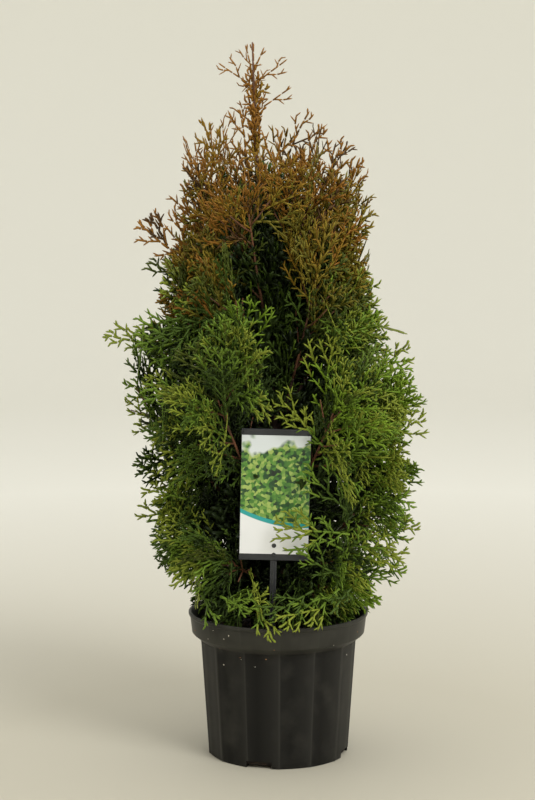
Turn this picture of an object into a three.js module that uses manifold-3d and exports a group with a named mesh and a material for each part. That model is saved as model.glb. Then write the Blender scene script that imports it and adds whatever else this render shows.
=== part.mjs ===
// A young arborvitae in a black nursery pot, with a picture label on a stem. Millimetres, +Z up.
// The origin is the centre of the pot's flat underside, X runs to the right of the label and
// Y runs away from it. Angles run from +X towards +Y, so 270 degrees is the front.
import * as THREE from "three";
import { mergeVertices } from "three/addons/utils/BufferGeometryUtils.js";
import Module from "manifold-3d";

const wasm = await Module();
wasm.setup();
const radians = THREE.MathUtils.degToRad;
const { lerp, clamp } = THREE.MathUtils;

const CLEAR = 0.3; // left between any two pieces that touch
const SHORTEST_EDGE = 0.02; // shorter ones are closed up in joined solids
const SAME_POINT = 1e-4; // corners nearer than this are one
const UPRIGHT_GUARD = 1e-3; // keeps a level direction from vanishing beside an upright limb

// Pot
const POT_HEIGHT = 147;
const POT_BASE_RADIUS = 72;
const POT_BODY_RADIUS = 80; // at the top of the body, under the rim band
const BAND_RADIUS = 88.5; // at the band's lower edge
const RIM_RADIUS = 92;
const BAND_FOOT = 125;
const BODY_TOP = 119;
const RIM_LIP = 3;
const RIM_LIP_SLOPE = 1; // height over which the rim widens into its lip
const POT_WALL = 2;
const POT_FLOOR = 3;
const POT_SIDES = 48;
const DRAIN_COUNT = 4;
const DRAIN_WIDTH = 26;
const DRAIN_HEIGHT = 7;
const DRAIN_INSET = 12;
const DRAIN_FIRST = radians(254);

// Potting soil, whose middle stands a little above its edge
const SOIL_TO_POT = 0.4;
const SOIL_EDGE = BAND_FOOT + SOIL_TO_POT;
const SOIL_MIDDLE = 130;
const SOIL_FLAT_RADIUS = 18;
const SOIL_SIDES = POT_SIDES / 2;

// Label, from its lower edge at LABEL_FOOT
const LABEL_WIDTH = 69;
const LABEL_HEIGHT = 131;
const LABEL_FOOT = 210;
const LABEL_X = -5;
const LABEL_FRONT = -62;
const LABEL_LEAN = radians(1.3);
const LABEL_STRIP = 6; // height of the raised strips above and below the card
const PLATE_THICK = 2;
const CARD_THICK = 0.8;
const PEG_RADIUS = 2;
const PEG_STANDS_OUT = 0.6;
const PEG_HEIGHTS = [5.4, 14.7];
const PEG_SIDES = 12;
const PEG_SHORT_OF_BACK = 0.5;
const CARD_NARROWER = 1; // than the plate behind it
const STEM_WIDTH = 6.5;
const STEM_THICK = 2;
const RIB_WIDTH = 2;
const RIB_THICK = 3;
const RIB_STANDS_OUT = 1;
const STEM_FOOT = 62; // how high above the pot's underside the stem ends, down in the soil

// Trunk: height, x, y and radius at its waypoints
const TRUNK_WAYPOINTS = [
  [SOIL_MIDDLE + CLEAR, 3, 4, 11],
  [146, 2, 4, 7.4],
  [250, 0, 3, 6],
  [380, -5, 1, 4.6],
  [500, -13, -2, 3.3],
  [600, -22, -3, 2],
];
const TRUNK_SIDES = 8;
const TRUNK_STEPS = 12;
const TRUNK_LINE_STEPS = 24; // of the line that distances are measured to

// Crown outline: height, and the reach to the left and to the right of the pot's axis
const CROWN_OUTLINE = [
  [130, 94, 96],
  [155, 98, 100],
  [190, 116, 126],
  [240, 138, 144],
  [300, 138, 138],
  [355, 152, 144],
  [405, 160, 138],
  [430, 181, 132],
  [450, 140, 104],
  [470, 122, 94],
  [505, 122, 87],
  [525, 107, 88],
  [555, 105, 91],
  [600, 101, 86],
  [630, 95, 62],
  [660, 60, 32],
  [705, 62, 12],
  [721, 40, 6],
];
const DEPTH_SHARE = 0.93; // the reach to the front and back, against the mean of left and right

// Spaces at the front that foliage keeps out of: the label's, and the dark hollow above it
const FRONT_CLEARINGS = [
  { left: -46, right: 38, foot: 196, top: 352, front: -54 },
  { left: -18, right: 24, foot: 352, top: 500, front: -26 },
];

// Tiers of branches. A branch runs from the trunk at the tier's root height, or some steps above
// it, to its own tip height at the crown's outline, by way of a point that lies at share `spread`
// of that line and `arch` above it. Its first part, up to share `bough`, is a bare bough, and the
// rest is foliage.
const TIERS = [
  {
    name: "skirt",
    heart: 15,
    root: 139,
    rootStep: 2,
    spread: 0.5,
    arch: 22,
    bough: 0,
    spray: 60,
    droop: 0.25,
    angles: [190, 282, 322, 15, 80, 137],
    tips: [160, 152, 186, 168, 162, 170],
  },
  {
    name: "low",
    heart: 30,
    root: 164,
    rootStep: 6,
    spread: 0.6,
    arch: -34,
    bough: 0.33,
    spray: 78,
    droop: 0.2,
    angles: [182, 230, 272, 318, 2, 65, 125],
    tips: [302, 262, 330, 244, 345, 290, 315],
  },
  {
    name: "middle",
    heart: 32,
    root: 216,
    rootStep: 6,
    spread: 0.6,
    arch: -42,
    bough: 0.3,
    spray: 78,
    droop: 0,
    angles: [178, 234, 303, 357, 55, 115],
    tips: [430, 446, 432, 405, 430, 410],
  },
  {
    name: "upper",
    heart: 30,
    root: 300,
    rootStep: 6,
    spread: 0.6,
    arch: -40,
    bough: 0.3,
    spray: 72,
    droop: 0,
    angles: [190, 236, 302, 352, 50, 122],
    tips: [555, 540, 560, 532, 545, 520],
  },
  {
    name: "shoulder",
    heart: 25,
    root: 398,
    rootStep: 6,
    spread: 0.6,
    arch: -34,
    bough: 0.26,
    spray: 60,
    droop: 0,
    angles: [186, 246, 308, 10, 95],
    tips: [630, 612, 630, 604, 622],
  },
];
const LEADER = {
  name: "leader",
  heart: 7,
  spread: 0.5,
  spray: 36,
  droop: 0,
  tip: new THREE.Vector3(-26, -4, 721),
};

// Boughs and foliage stems
const BOUGH_RADIUS = 2.8;
const BOUGH_TO_TRUNK = 0.7; // the most that a bough's radius may be of the trunk's
const STEM_RADIUS = 1.7;
const STEM_TIP_RADIUS = 0.8;
const BOUGH_SIDES = 5;
const BOUGH_STEPS = 3;
const BOUGH_LINE_STEPS = 5; // of the line that distances are measured to
const STEM_LINE_STEPS = 14; // the same, of a foliage stem
const STEM_STOPS_SHORT = 1; // of the last spray's length, from the branch's tip
const SHOOT_SIDES = 3;
const HEART_SIDES = 5;
const HEART_STEPS = 5;
const HEART_FULLNESS = 0.45; // how soon the heart reaches its full radius
const HEART_NARROWER = [1, 0.85, 0.7, 0.55, 0.4, 0.25]; // tried in turn
const HEART_MARGIN = 1.5;
const HEART_TEST_POINTS = 8; // round the heart
const HEART_TEST_PLACES = [-0.5, -0.25, 0, 0.25, 0.5]; // along it, in its own steps

// Foliage on a stem: side shoots that each carry a fan of sprays, and sprays on the stem itself
const SHOOT_STARTS = [0.3, 0.62];
const SHOOT_SHARE = 0.36; // a shoot's length against its stem's
const SHOOT_RADIUS = 1.1;
const SHOOT_ANGLE = radians(48);
const SHOOT_TESTS = [0.3, 0.65, 1]; // where along a shoot its space is tested
const SHOOT_SPRAYS = [
  { at: 0.6, way: 1 },
  { at: 1, way: 0 },
]; // where along a shoot its sprays stand, and to which side they lean
const STEM_SPRAY_STARTS = [0.06, 0.21, 0.36, 0.5, 0.64, 0.78, 0.92];
const SPRAY_ANGLE = radians(38);
const GOLDEN_ANGLE = radians(137.5);
const STEM_SPRAY_TURN = 1.9; // radians, from the first shoot to the first spray on the stem

// A spray is a thin blade with a lobe on each side of its tip. Its outline is given in shares
// of its length, along it and to one side.
const SPRAY_HALF_OUTLINE = [
  [0.58, 0.42],
  [0.6, 0.18],
];
const SPRAY_RIDGE = 0.3; // where it is thickest
const SPRAY_THICK = 1.8;
const SPRAY_SUNK = 1;
const SPRAY_ROOT_DEPTH = 7; // under the heart's surface
const SPRAY_SHORTER = [1, 0.8, 0.64, 0.5]; // tried in turn until a spray keeps to its space
const SPRAY_TRIES = 16; // turns that a spray or a shoot tries, to keep the one that grows longest
const SPRAY_SWAY = radians(150);
const SHOOT_SWAY = radians(150);
const SPRAY_GAP = 6; // between the outer parts of two sprays of one mass

// Where a spray is tested against its space, in shares of its length: along its middle near the
// root and further out, towards each lobe, and on each side of its tip
const INNER_TESTS = [0.15, 0.3];
const OUTER_TESTS = [0.5, 0.75, 1];
const LOBE_TESTS = [1, 0.65];
const TIP_TEST = { forward: 0.78, aside: 0.5 };

const SPACE_MARGIN = 1.3; // between a mass and the boundary that it shares with the next
const LIMB_MARGIN = 1.6; // between foliage and the trunk or a bough
const CROWN_MARGIN = 3; // that a point of the foliage may lie outside the crown's outline
const SOIL_MARGIN = 6; // between foliage and the top of the soil
const RIM_MARGIN = 3; // between foliage and the pot's rim
const LABEL_STEM_MARGIN = 9; // between foliage and the label's stem, front to back
const FOLIAGE_SHORTEST_EDGE = 0.2;
const SEED = 4713;

const plain = (color, roughness) => new THREE.MeshStandardMaterial({ color, roughness, metalness: 0 });
const FINISH = {
  pot: plain(0x1d1d1b, 0.42),
  soil: plain(0x271e18, 0.95),
  holder: plain(0x2a2c30, 0.4),
  card: plain(0xaab8a2, 0.28),
  bark: plain(0x483224, 0.85),
  skirt: plain(0x4b6121, 0.5),
  low: plain(0x485d21, 0.5),
  middle: plain(0x4b5921, 0.5),
  upper: plain(0x50501f, 0.5),
  shoulder: plain(0x735924, 0.5),
  leader: plain(0x86612b, 0.5),
};

// A repeatable run of numbers from 0 to 1
function seeded(seed) {
  let state = seed >>> 0;
  return () => {
    state = (Math.imul(state, 1664525) + 1013904223) >>> 0;
    return state / 4294967296;
  };
}

const polar = (radius, angle, z) =>
  new THREE.Vector3(radius * Math.cos(angle), radius * Math.sin(angle), z);

// A column of a table, at a key between its rows
function between(table, key, column) {
  const above = table.findIndex((row) => row[0] >= key);
  if (above === 0) return table[0][column];
  if (above < 0) return table.at(-1)[column];
  const [low, high] = [table[above - 1], table[above]];
  return lerp(low[column], high[column], (key - low[0]) / (high[0] - low[0]));
}

// Solids

function solidOf(geometry) {
  const bare = geometry.clone();
  bare.deleteAttribute("normal");
  bare.deleteAttribute("uv");
  const merged = mergeVertices(bare, SAME_POINT);
  return new wasm.Manifold(
    new wasm.Mesh({
      numProp: 3,
      vertProperties: merged.attributes.position.array,
      triVerts: new Uint32Array(merged.index.array),
    }),
  );
}

function geometryOf(solid) {
  const { vertProperties, triVerts } = solid.getMesh();
  return new THREE.BufferGeometry()
    .setAttribute("position", new THREE.BufferAttribute(vertProperties, 3))
    .setIndex(new THREE.BufferAttribute(triVerts, 1));
}

// The solids joined into one, without loose scraps and sealed hollows
function joined(solids, shortestEdge = SHORTEST_EDGE) {
  const pieces = wasm.Manifold.union(solids).simplify(shortestEdge).decompose();
  return pieces.reduce((best, piece) => (piece.volume() > best.volume() ? piece : best));
}

function lathed(profile, sides) {
  const points = profile.map(([radius, z]) => new THREE.Vector2(radius, z));
  return solidOf(new THREE.LatheGeometry(points, sides).rotateX(Math.PI / 2));
}

// A closed tapering limb: a cylinder whose rings are laid along a stretch of a curve. `side` is
// level and square to the curve, and `radiusAt` gives the radius at a share of the stretch.
function limb({ curve, from = 0, to = 1, side, radiusAt, sides, steps }) {
  const geometry = new THREE.CylinderGeometry(1, 1, 1, sides, steps);
  const position = geometry.getAttribute("position");
  const point = new THREE.Vector3();
  for (let i = 0; i < position.count; i++) {
    point.fromBufferAttribute(position, i);
    const share = clamp(0.5 - point.y, 0, 1);
    const t = lerp(from, to, share);
    const over = new THREE.Vector3().crossVectors(curve.getTangent(t), side).normalize();
    const radius = radiusAt(share);
    const place = curve.getPoint(t);
    place.addScaledVector(side, point.x * radius).addScaledVector(over, point.z * radius);
    position.setXYZ(i, place.x, place.y, place.z);
  }
  return solidOf(geometry);
}

// Pot, soil and label

function pot() {
  const outside = [
    [0, 0],
    [POT_BASE_RADIUS, 0],
    [POT_BODY_RADIUS, BODY_TOP],
    [BAND_RADIUS, BAND_FOOT],
    [RIM_RADIUS - RIM_LIP / 2, POT_HEIGHT - RIM_LIP - RIM_LIP_SLOPE],
    [RIM_RADIUS, POT_HEIGHT - RIM_LIP],
    [RIM_RADIUS, POT_HEIGHT],
  ];
  const inside = [
    [RIM_RADIUS - RIM_LIP, POT_HEIGHT],
    [BAND_RADIUS - POT_WALL, BAND_FOOT],
    [POT_BODY_RADIUS - POT_WALL, BODY_TOP],
    [POT_BASE_RADIUS - POT_WALL, POT_FLOOR],
    [0, POT_FLOOR],
  ];
  let shell = lathed([...outside, ...inside], POT_SIDES);
  for (let i = 0; i < DRAIN_COUNT; i++) {
    const notch = new THREE.BoxGeometry(2 * DRAIN_INSET, DRAIN_WIDTH, 2 * DRAIN_HEIGHT);
    notch.translate(POT_BASE_RADIUS, 0, 0).rotateZ(DRAIN_FIRST + (i * 2 * Math.PI) / DRAIN_COUNT);
    shell = shell.subtract(solidOf(notch));
  }
  return joined([shell]);
}

function soil() {
  const side = POT_WALL + SOIL_TO_POT;
  const fill = lathed(
    [
      [0, POT_FLOOR + CLEAR],
      [POT_BASE_RADIUS - side, POT_FLOOR + CLEAR],
      [POT_BODY_RADIUS - side, BODY_TOP + CLEAR],
      [BAND_RADIUS - side, SOIL_EDGE],
      [SOIL_FLAT_RADIUS, SOIL_MIDDLE],
      [0, SOIL_MIDDLE],
    ],
    SOIL_SIDES,
  );
  const slot = geometryOf(wasm.Manifold.union(labelStem(CLEAR))).applyMatrix4(label.matrix);
  return joined([fill.subtract(solidOf(slot))]);
}

// The label leans as one. Its pieces are made upright, with their origin at its foot.
const label = new THREE.Group();
label.position.set(LABEL_X, LABEL_FRONT, LABEL_FOOT);
label.rotation.y = LABEL_LEAN;
label.updateMatrix();

// A block that stands on its `foot`, with its front at `front`
function labelBlock(width, depth, height, front, foot) {
  const block = new THREE.BoxGeometry(width, depth, height);
  return solidOf(block.translate(0, front + depth / 2, foot + height / 2));
}

function labelPegs(radius, length) {
  return PEG_HEIGHTS.map((height) => {
    const peg = new THREE.CylinderGeometry(radius, radius, length, PEG_SIDES);
    return solidOf(peg.translate(0, length / 2 - PEG_STANDS_OUT, height));
  });
}

// The flat stem and the rib down its front, `grown` all round
function labelStem(grown) {
  const length = LABEL_FOOT - STEM_FOOT;
  const front = CARD_THICK + CLEAR;
  const bar = (width, thick, start) =>
    labelBlock(width + 2 * grown, thick + 2 * grown, length + 2 * grown, start - grown, -length - grown);
  return [bar(STEM_WIDTH, STEM_THICK, front), bar(RIB_WIDTH, RIB_THICK, front - RIB_STANDS_OUT)];
}

// The plate, its two strips, the pegs that hold the card, and the stem, moulded in one
function labelHolder() {
  const front = CARD_THICK + CLEAR;
  const depth = front + PLATE_THICK;
  return joined([
    labelBlock(LABEL_WIDTH, PLATE_THICK, LABEL_HEIGHT, front, 0),
    labelBlock(LABEL_WIDTH, depth, LABEL_STRIP, 0, 0),
    labelBlock(LABEL_WIDTH - 2 * PEG_RADIUS, depth, LABEL_STRIP, 0, LABEL_HEIGHT - LABEL_STRIP),
    ...labelPegs(PEG_RADIUS, PEG_STANDS_OUT + depth - PEG_SHORT_OF_BACK),
    ...labelStem(0),
  ]);
}

function labelCard() {
  const height = LABEL_HEIGHT - 2 * LABEL_STRIP - 2 * CLEAR;
  const card = labelBlock(LABEL_WIDTH - CARD_NARROWER, CARD_THICK, height, 0, LABEL_STRIP + CLEAR);
  const pegHoles = labelPegs(PEG_RADIUS + CLEAR, 2 * PEG_STANDS_OUT + CARD_THICK);
  return joined([card.subtract(wasm.Manifold.union(pegHoles))]);
}

// Trunk and branches

const trunkLine = new THREE.CatmullRomCurve3(
  TRUNK_WAYPOINTS.map(([z, x, y]) => new THREE.Vector3(x, y, z)),
);
const trunkRadius = (z) => between(TRUNK_WAYPOINTS, z, 3);
const trunkPoint = (z) =>
  new THREE.Vector3(between(TRUNK_WAYPOINTS, z, 1), between(TRUNK_WAYPOINTS, z, 2), z);

function trunk(grown) {
  const side = new THREE.Vector3(1, 0, 0);
  const radiusAt = (share) => trunkRadius(trunkLine.getPoint(share).z) + grown;
  return limb({ curve: trunkLine, side, radiusAt, sides: TRUNK_SIDES, steps: TRUNK_STEPS });
}

// How far the crown reaches from the pot's axis
function crownReach(angle, z) {
  const share = (1 + Math.cos(angle)) / 2;
  const side = lerp(between(CROWN_OUTLINE, z, 1), between(CROWN_OUTLINE, z, 2), share);
  return side * lerp(DEPTH_SHARE, 1, Math.abs(Math.cos(angle)));
}

const clearingAt = ({ x, y, z }) =>
  FRONT_CLEARINGS.find(
    ({ left, right, foot, top, front }) => x > left && x < right && z > foot && z < top && y < front,
  );

// A branch's tip, on the crown's outline or at the back of a clearing
function branchTip(angle, z) {
  const tip = polar(crownReach(angle, z), angle, z);
  const clearing = clearingAt(tip);
  return clearing ? polar(clearing.front / Math.sin(angle), angle, z) : tip;
}

// One branch: the curve that its bough and its foliage's stem share, and where each lies on it
function branch(tier, name, root, bend, tip, index) {
  const curve = new THREE.QuadraticBezierCurve3(root, bend, tip);
  const length = curve.getLength();
  const chord = tip.clone().sub(root).setZ(0);
  const side = new THREE.Vector3(-chord.y, chord.x, 0).normalize();
  const stemFrom = tier.bough ? tier.bough + CLEAR / length : 0;
  const stemTo = 1 - (STEM_STOPS_SHORT * tier.spray) / length;
  return { tier, name, curve, length, side, stemFrom, stemTo, index };
}

function branchesOf(tier, firstIndex) {
  return tier.angles.map((degrees, i) => {
    const angle = radians(degrees);
    const root = trunkPoint(tier.root + tier.rootStep * ((2 * i) % (tier.angles.length | 1)));
    const tip = branchTip(angle, tier.tips[i]);
    const bend = root.clone().lerp(tip, tier.spread);
    bend.z += tier.arch;
    return branch(tier, `${tier.name}_${i + 1}`, root, bend, tip, firstIndex + i);
  });
}

function allBranches() {
  const branches = [];
  for (const tier of TIERS) {
    branches.push(...branchesOf(tier, branches.length));
  }
  const root = trunkPoint(TRUNK_WAYPOINTS.at(-1)[0]);
  root.z += CLEAR;
  const bend = root.clone().lerp(LEADER.tip, LEADER.spread);
  branches.push(branch(LEADER, LEADER.name, root, bend, LEADER.tip, branches.length));
  return branches;
}

function boughLimb({ tier, curve, side }, grown) {
  const thick = Math.min(BOUGH_RADIUS, BOUGH_TO_TRUNK * trunkRadius(tier.root));
  const radiusAt = (share) => lerp(thick, STEM_RADIUS, share) + grown;
  return limb({ curve, to: tier.bough, side, radiusAt, sides: BOUGH_SIDES, steps: BOUGH_STEPS });
}

const bough = (branchOfTree) => joined([boughLimb(branchOfTree, 0).subtract(trunk(CLEAR))]);

// The stem of a branch's foliage, swollen along its middle into the dense heart of the mass
function stem(branchOfTree) {
  const { tier, curve, side, stemFrom, stemTo } = branchOfTree;
  const radiusAt = (share) => {
    const thin = lerp(STEM_RADIUS, STEM_TIP_RADIUS, share);
    return Math.max(thin, heartRadius(branchOfTree, share));
  };
  const range = { from: stemFrom, to: stemTo, sides: HEART_SIDES, steps: HEART_STEPS };
  const whole = limb({ curve, side, radiusAt, ...range });
  return tier.bough === 0 ? whole.subtract(trunk(CLEAR)) : whole;
}

// Whether the heart keeps to its space at a share of its line, if it had a radius there
function heartFits({ curve, side, stemFrom, stemTo, index }, share, radius) {
  const t = lerp(stemFrom, stemTo, clamp(share, 0, 1));
  const centre = curve.getPoint(t);
  const over = new THREE.Vector3().crossVectors(curve.getTangent(t), side).normalize();
  const ring = Array.from({ length: HEART_TEST_POINTS }, (_, i) => {
    const around = (i * 2 * Math.PI) / HEART_TEST_POINTS;
    const out = side.clone().multiplyScalar(Math.cos(around)).addScaledVector(over, Math.sin(around));
    return centre.clone().addScaledVector(out, radius);
  });
  return clearOfLimbs(centre, radius) && keepsToSpace(ring, index);
}

// The widest of a few radii at which the heart keeps to its space, there and half a step away
function heartRadius(branchOfTree, share) {
  const full = branchOfTree.tier.heart * Math.sin(Math.PI * share) ** HEART_FULLNESS;
  const nearby = HEART_TEST_PLACES.map((part) => share + part / HEART_STEPS);
  const radii = HEART_NARROWER.map((part) => part * full);
  const fits = (radius) => nearby.every((place) => heartFits(branchOfTree, place, radius + HEART_MARGIN));
  return radii.find(fits) ?? 0;
}

// Foliage

const BRANCHES = allBranches();
const LINES = BRANCHES.map(({ curve, stemFrom }) => lineAlong(curve, stemFrom, 1, STEM_LINE_STEPS));
const BOUGH_LINES = BRANCHES.filter(({ tier }) => tier.bough).map(({ curve, tier }) =>
  lineAlong(curve, 0, tier.bough, BOUGH_LINE_STEPS),
);
const TRUNK_LINE = lineAlong(trunkLine, 0, 1, TRUNK_LINE_STEPS);
const LIMBS = wasm.Manifold.union([
  trunk(2 * CLEAR),
  ...BRANCHES.filter(({ tier }) => tier.bough).map((one) => boughLimb(one, 2 * CLEAR)),
]);

function lineAlong(curve, from, to, count) {
  return Array.from({ length: count + 1 }, (_, i) => curve.getPoint(lerp(from, to, i / count)));
}

function distanceTo(line, point) {
  const nearest = new THREE.Vector3();
  let best = Infinity;
  for (let i = 1; i < line.length; i++) {
    new THREE.Line3(line[i - 1], line[i]).closestPointToPoint(point, true, nearest);
    best = Math.min(best, nearest.distanceTo(point));
  }
  return best;
}

// Whether a point of a branch's foliage is inside the crown and clear of the pot and the label
function insideCrown(point) {
  const radius = Math.hypot(point.x, point.y);
  const overSoil = radius < POT_BODY_RADIUS;
  const overRim = !overSoil && radius < RIM_RADIUS + RIM_MARGIN;
  const besideStem = Math.abs(point.x - LABEL_X) < STEM_WIDTH && point.z < LABEL_FOOT;
  const reach = crownReach(Math.atan2(point.y, point.x), point.z);
  if (radius > reach + CROWN_MARGIN || clearingAt(point)) return false;
  if (overSoil && point.z < SOIL_MIDDLE + SOIL_MARGIN) return false;
  if (overRim && point.z < POT_HEIGHT + RIM_MARGIN) return false;
  return !(besideStem && Math.abs(point.y - LABEL_FRONT) < LABEL_STEM_MARGIN);
}

function inOwnSpace(point, index) {
  const own = distanceTo(LINES[index], point) + 2 * SPACE_MARGIN;
  return LINES.every((line, i) => i === index || distanceTo(line, point) > own);
}

// Whether a ball round a point is clear of the trunk and of every bough
function clearOfLimbs(point, radius = 0) {
  const margin = radius + LIMB_MARGIN;
  if (distanceTo(TRUNK_LINE, point) < trunkRadius(point.z) + margin) return false;
  return BOUGH_LINES.every((line) => distanceTo(line, point) > BOUGH_RADIUS + margin);
}

function keepsToSpace(points, index) {
  return points.every(
    (point) => insideCrown(point) && clearOfLimbs(point) && inOwnSpace(point, index),
  );
}

// A direction that leaves `along` at an angle, turned round it, and leans outwards and down
function leaving(along, side, around, angle, droop) {
  const over = new THREE.Vector3().crossVectors(along, side).normalize();
  const aside = side.clone().multiplyScalar(Math.cos(around)).addScaledVector(over, Math.sin(around));
  const direction = along.clone().multiplyScalar(Math.cos(angle)).addScaledVector(aside, Math.sin(angle));
  direction.z -= droop;
  return direction.normalize();
}

// A direction square to another, turned round it
function squareTo(along, around) {
  const level = new THREE.Vector3(along.y, -along.x, UPRIGHT_GUARD).normalize();
  const over = new THREE.Vector3().crossVectors(along, level).normalize();
  level.crossVectors(over, along);
  return level.multiplyScalar(Math.cos(around)).addScaledVector(over, Math.sin(around));
}

// A point of a spray, from its shares of the spray's length along and across it
function sprayPoint({ base, along, across, length }, forward, aside) {
  return base.clone().addScaledVector(along, forward * length).addScaledVector(across, aside * length);
}

function sprayOutline() {
  const mirrored = SPRAY_HALF_OUTLINE.map(([forward, aside]) => [forward, -aside]).reverse();
  return [[0, 0], ...SPRAY_HALF_OUTLINE, [1, 0], ...mirrored];
}

// Points of a spray that are tested against its space, near its root and over its outer part
function sprayTestPoints(spray) {
  const [lobe, notch] = SPRAY_HALF_OUTLINE;
  const middle = (share) => [share, 0];
  const towardsLobe = (share, way) => [share * lobe[0], way * share * lobe[1]];
  const lastInner = INNER_TESTS.at(-1);
  const inner = [...INNER_TESTS.map(middle), towardsLobe(lastInner, 1), towardsLobe(lastInner, -1)];
  const outer = OUTER_TESTS.map(middle);
  for (const way of [-1, 1]) {
    outer.push(...LOBE_TESTS.map((share) => towardsLobe(share, way)));
    outer.push([notch[0], way * notch[1]], [TIP_TEST.forward, way * TIP_TEST.aside * notch[1]]);
  }
  const placed = (shares) => shares.map(([forward, aside]) => sprayPoint(spray, forward, aside));
  return { inner: placed(inner), outer: placed(outer) };
}

// Whether a spray's outer part stands apart from those of other sprays
function standsApart(spray, others) {
  const { outer } = sprayTestPoints(spray);
  return others.every((other) => {
    const theirs = sprayTestPoints(other).outer;
    return outer.every((point) => theirs.every((their) => point.distanceTo(their) > SPRAY_GAP));
  });
}

// The longest of a few lengths at which a spray keeps to its space, if there is one
function fitted(spray, others, index) {
  const candidates = SPRAY_SHORTER.map((share) => ({ ...spray, length: spray.length * share }));
  return candidates.find((candidate) => {
    const { inner, outer } = sprayTestPoints(candidate);
    return keepsToSpace([...inner, ...outer], index) && standsApart(candidate, others);
  });
}

// The longest of several tries at a spray, if any of them keeps to its space
function bestSpray(make, others, index) {
  const tries = Array.from({ length: SPRAY_TRIES }, make);
  const kept = tries.map((spray) => fitted(spray, others, index)).filter(Boolean);
  return kept.sort((one, other) => other.length - one.length)[0];
}

// The longest of several tries at a side shoot that starts at a share of the stem
function bestShoot({ tier, curve, side, stemFrom, stemTo, length, index }, share, turn, random) {
  const t = lerp(stemFrom, stemTo, share);
  const start = curve.getPoint(t);
  const full = SHOOT_SHARE * length * (stemTo - stemFrom);
  const tries = Array.from({ length: SPRAY_TRIES }, () => {
    const swayed = turn + (random() - 0.5) * SHOOT_SWAY;
    const along = leaving(curve.getTangent(t), side, swayed, SHOOT_ANGLE, tier.droop);
    const lengths = SPRAY_SHORTER.map((part) => part * full);
    const reach = lengths.find((one) => {
      const points = SHOOT_TESTS.map((step) => start.clone().addScaledVector(along, step * one));
      return keepsToSpace(points, index);
    });
    return { start, along, reach: reach ?? 0 };
  });
  return tries.sort((one, other) => other.reach - one.reach)[0];
}

// A spray that stands on a side shoot, and leans to one side of it
function spraySideways({ start, along, reach }, { at, way }, length, random) {
  const across = squareTo(along, random() * Math.PI);
  const leaning = along.clone().multiplyScalar(Math.cos(way * SPRAY_ANGLE));
  leaning.addScaledVector(across, Math.sin(way * SPRAY_ANGLE));
  const flat = new THREE.Vector3().crossVectors(along, across);
  const over = new THREE.Vector3().crossVectors(flat, leaning);
  const base = start.clone().addScaledVector(along, at * reach);
  return { base, along: leaning, across: over, length };
}

// A spray that stands on the stem, its root under the heart's surface
function sprayOnStem(branchOfTree, share, turn, random) {
  const { tier, curve, side, stemFrom, stemTo } = branchOfTree;
  const t = lerp(stemFrom, stemTo, share);
  const inHeart = Math.max(0, heartRadius(branchOfTree, share) - SPRAY_ROOT_DEPTH);
  const swayed = turn + (random() - 0.5) * SPRAY_SWAY;
  const along = leaving(curve.getTangent(t), side, swayed, SPRAY_ANGLE, tier.droop);
  const base = curve.getPoint(t).addScaledVector(along, inHeart);
  return { base, along, across: squareTo(along, random() * Math.PI), length: tier.spray };
}

// The shoots and sprays of one branch's foliage
function growth(branchOfTree) {
  const { tier, curve, stemTo, index } = branchOfTree;
  const random = seeded(SEED + index);
  const firstTurn = random() * 2 * Math.PI;
  const shoots = [];
  const sprays = [];
  const addSpray = (make) => {
    const kept = bestSpray(make, sprays, index);
    if (kept) sprays.push(kept);
  };

  SHOOT_STARTS.forEach((share, i) => {
    const shoot = bestShoot(branchOfTree, share, firstTurn + i * Math.PI, random);
    if (!shoot.reach) return;
    shoots.push(shoot);
    SHOOT_SPRAYS.forEach((place) => addSpray(() => spraySideways(shoot, place, tier.spray, random)));
  });
  STEM_SPRAY_STARTS.forEach((share, i) => {
    const turn = firstTurn + STEM_SPRAY_TURN + i * GOLDEN_ANGLE;
    addSpray(() => sprayOnStem(branchOfTree, share, turn, random));
  });
  addSpray(() => {
    const along = curve.getTangent(stemTo);
    const across = squareTo(along, random() * Math.PI);
    return { base: curve.getPoint(stemTo), along, across, length: tier.spray };
  });
  return { shoots, sprays };
}

// A blade that is thickest at a ridge point near its root, and thins to its edge
function sprayBlade(spray) {
  const outline = sprayOutline();
  const flat = new THREE.Vector3().crossVectors(spray.along, spray.across);
  const sunk = { ...spray, base: spray.base.clone().addScaledVector(spray.along, -SPRAY_SUNK) };
  const points = outline.map(([forward, aside]) => sprayPoint(sunk, forward, aside));
  const ridge = sprayPoint(sunk, SPRAY_RIDGE, 0);
  points.push(ridge.clone().addScaledVector(flat, SPRAY_THICK / 2));
  points.push(ridge.clone().addScaledVector(flat, -SPRAY_THICK / 2));
  const faces = [];
  const count = outline.length;
  for (let i = 0; i < count; i++) {
    const next = (i + 1) % count;
    faces.push(next, i, count, i, next, count + 1);
  }
  const geometry = new THREE.BufferGeometry().setFromPoints(points).setIndex(faces);
  return solidOf(geometry);
}

function shootLimb({ start, along, reach }) {
  const curve = new THREE.LineCurve3(start, start.clone().addScaledVector(along, reach));
  const side = squareTo(along, 0);
  const radiusAt = (share) => lerp(SHOOT_RADIUS, STEM_TIP_RADIUS, share);
  return limb({ curve, side, radiusAt, sides: SHOOT_SIDES, steps: 1 });
}

function foliage(branchOfTree) {
  const { shoots, sprays } = growth(branchOfTree);
  const grown = [...shoots.map(shootLimb), ...sprays.map(sprayBlade)];
  const clear = grown.filter((solid) => solid.intersect(LIMBS).isEmpty());
  return joined([stem(branchOfTree), ...clear], FOLIAGE_SHORTEST_EDGE);
}

// The whole plant

const plant = new THREE.Group();
plant.add(label);

function place(name, solid, finish, group = plant) {
  const mesh = new THREE.Mesh(geometryOf(solid), finish);
  mesh.name = name;
  group.add(mesh);
}

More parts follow.
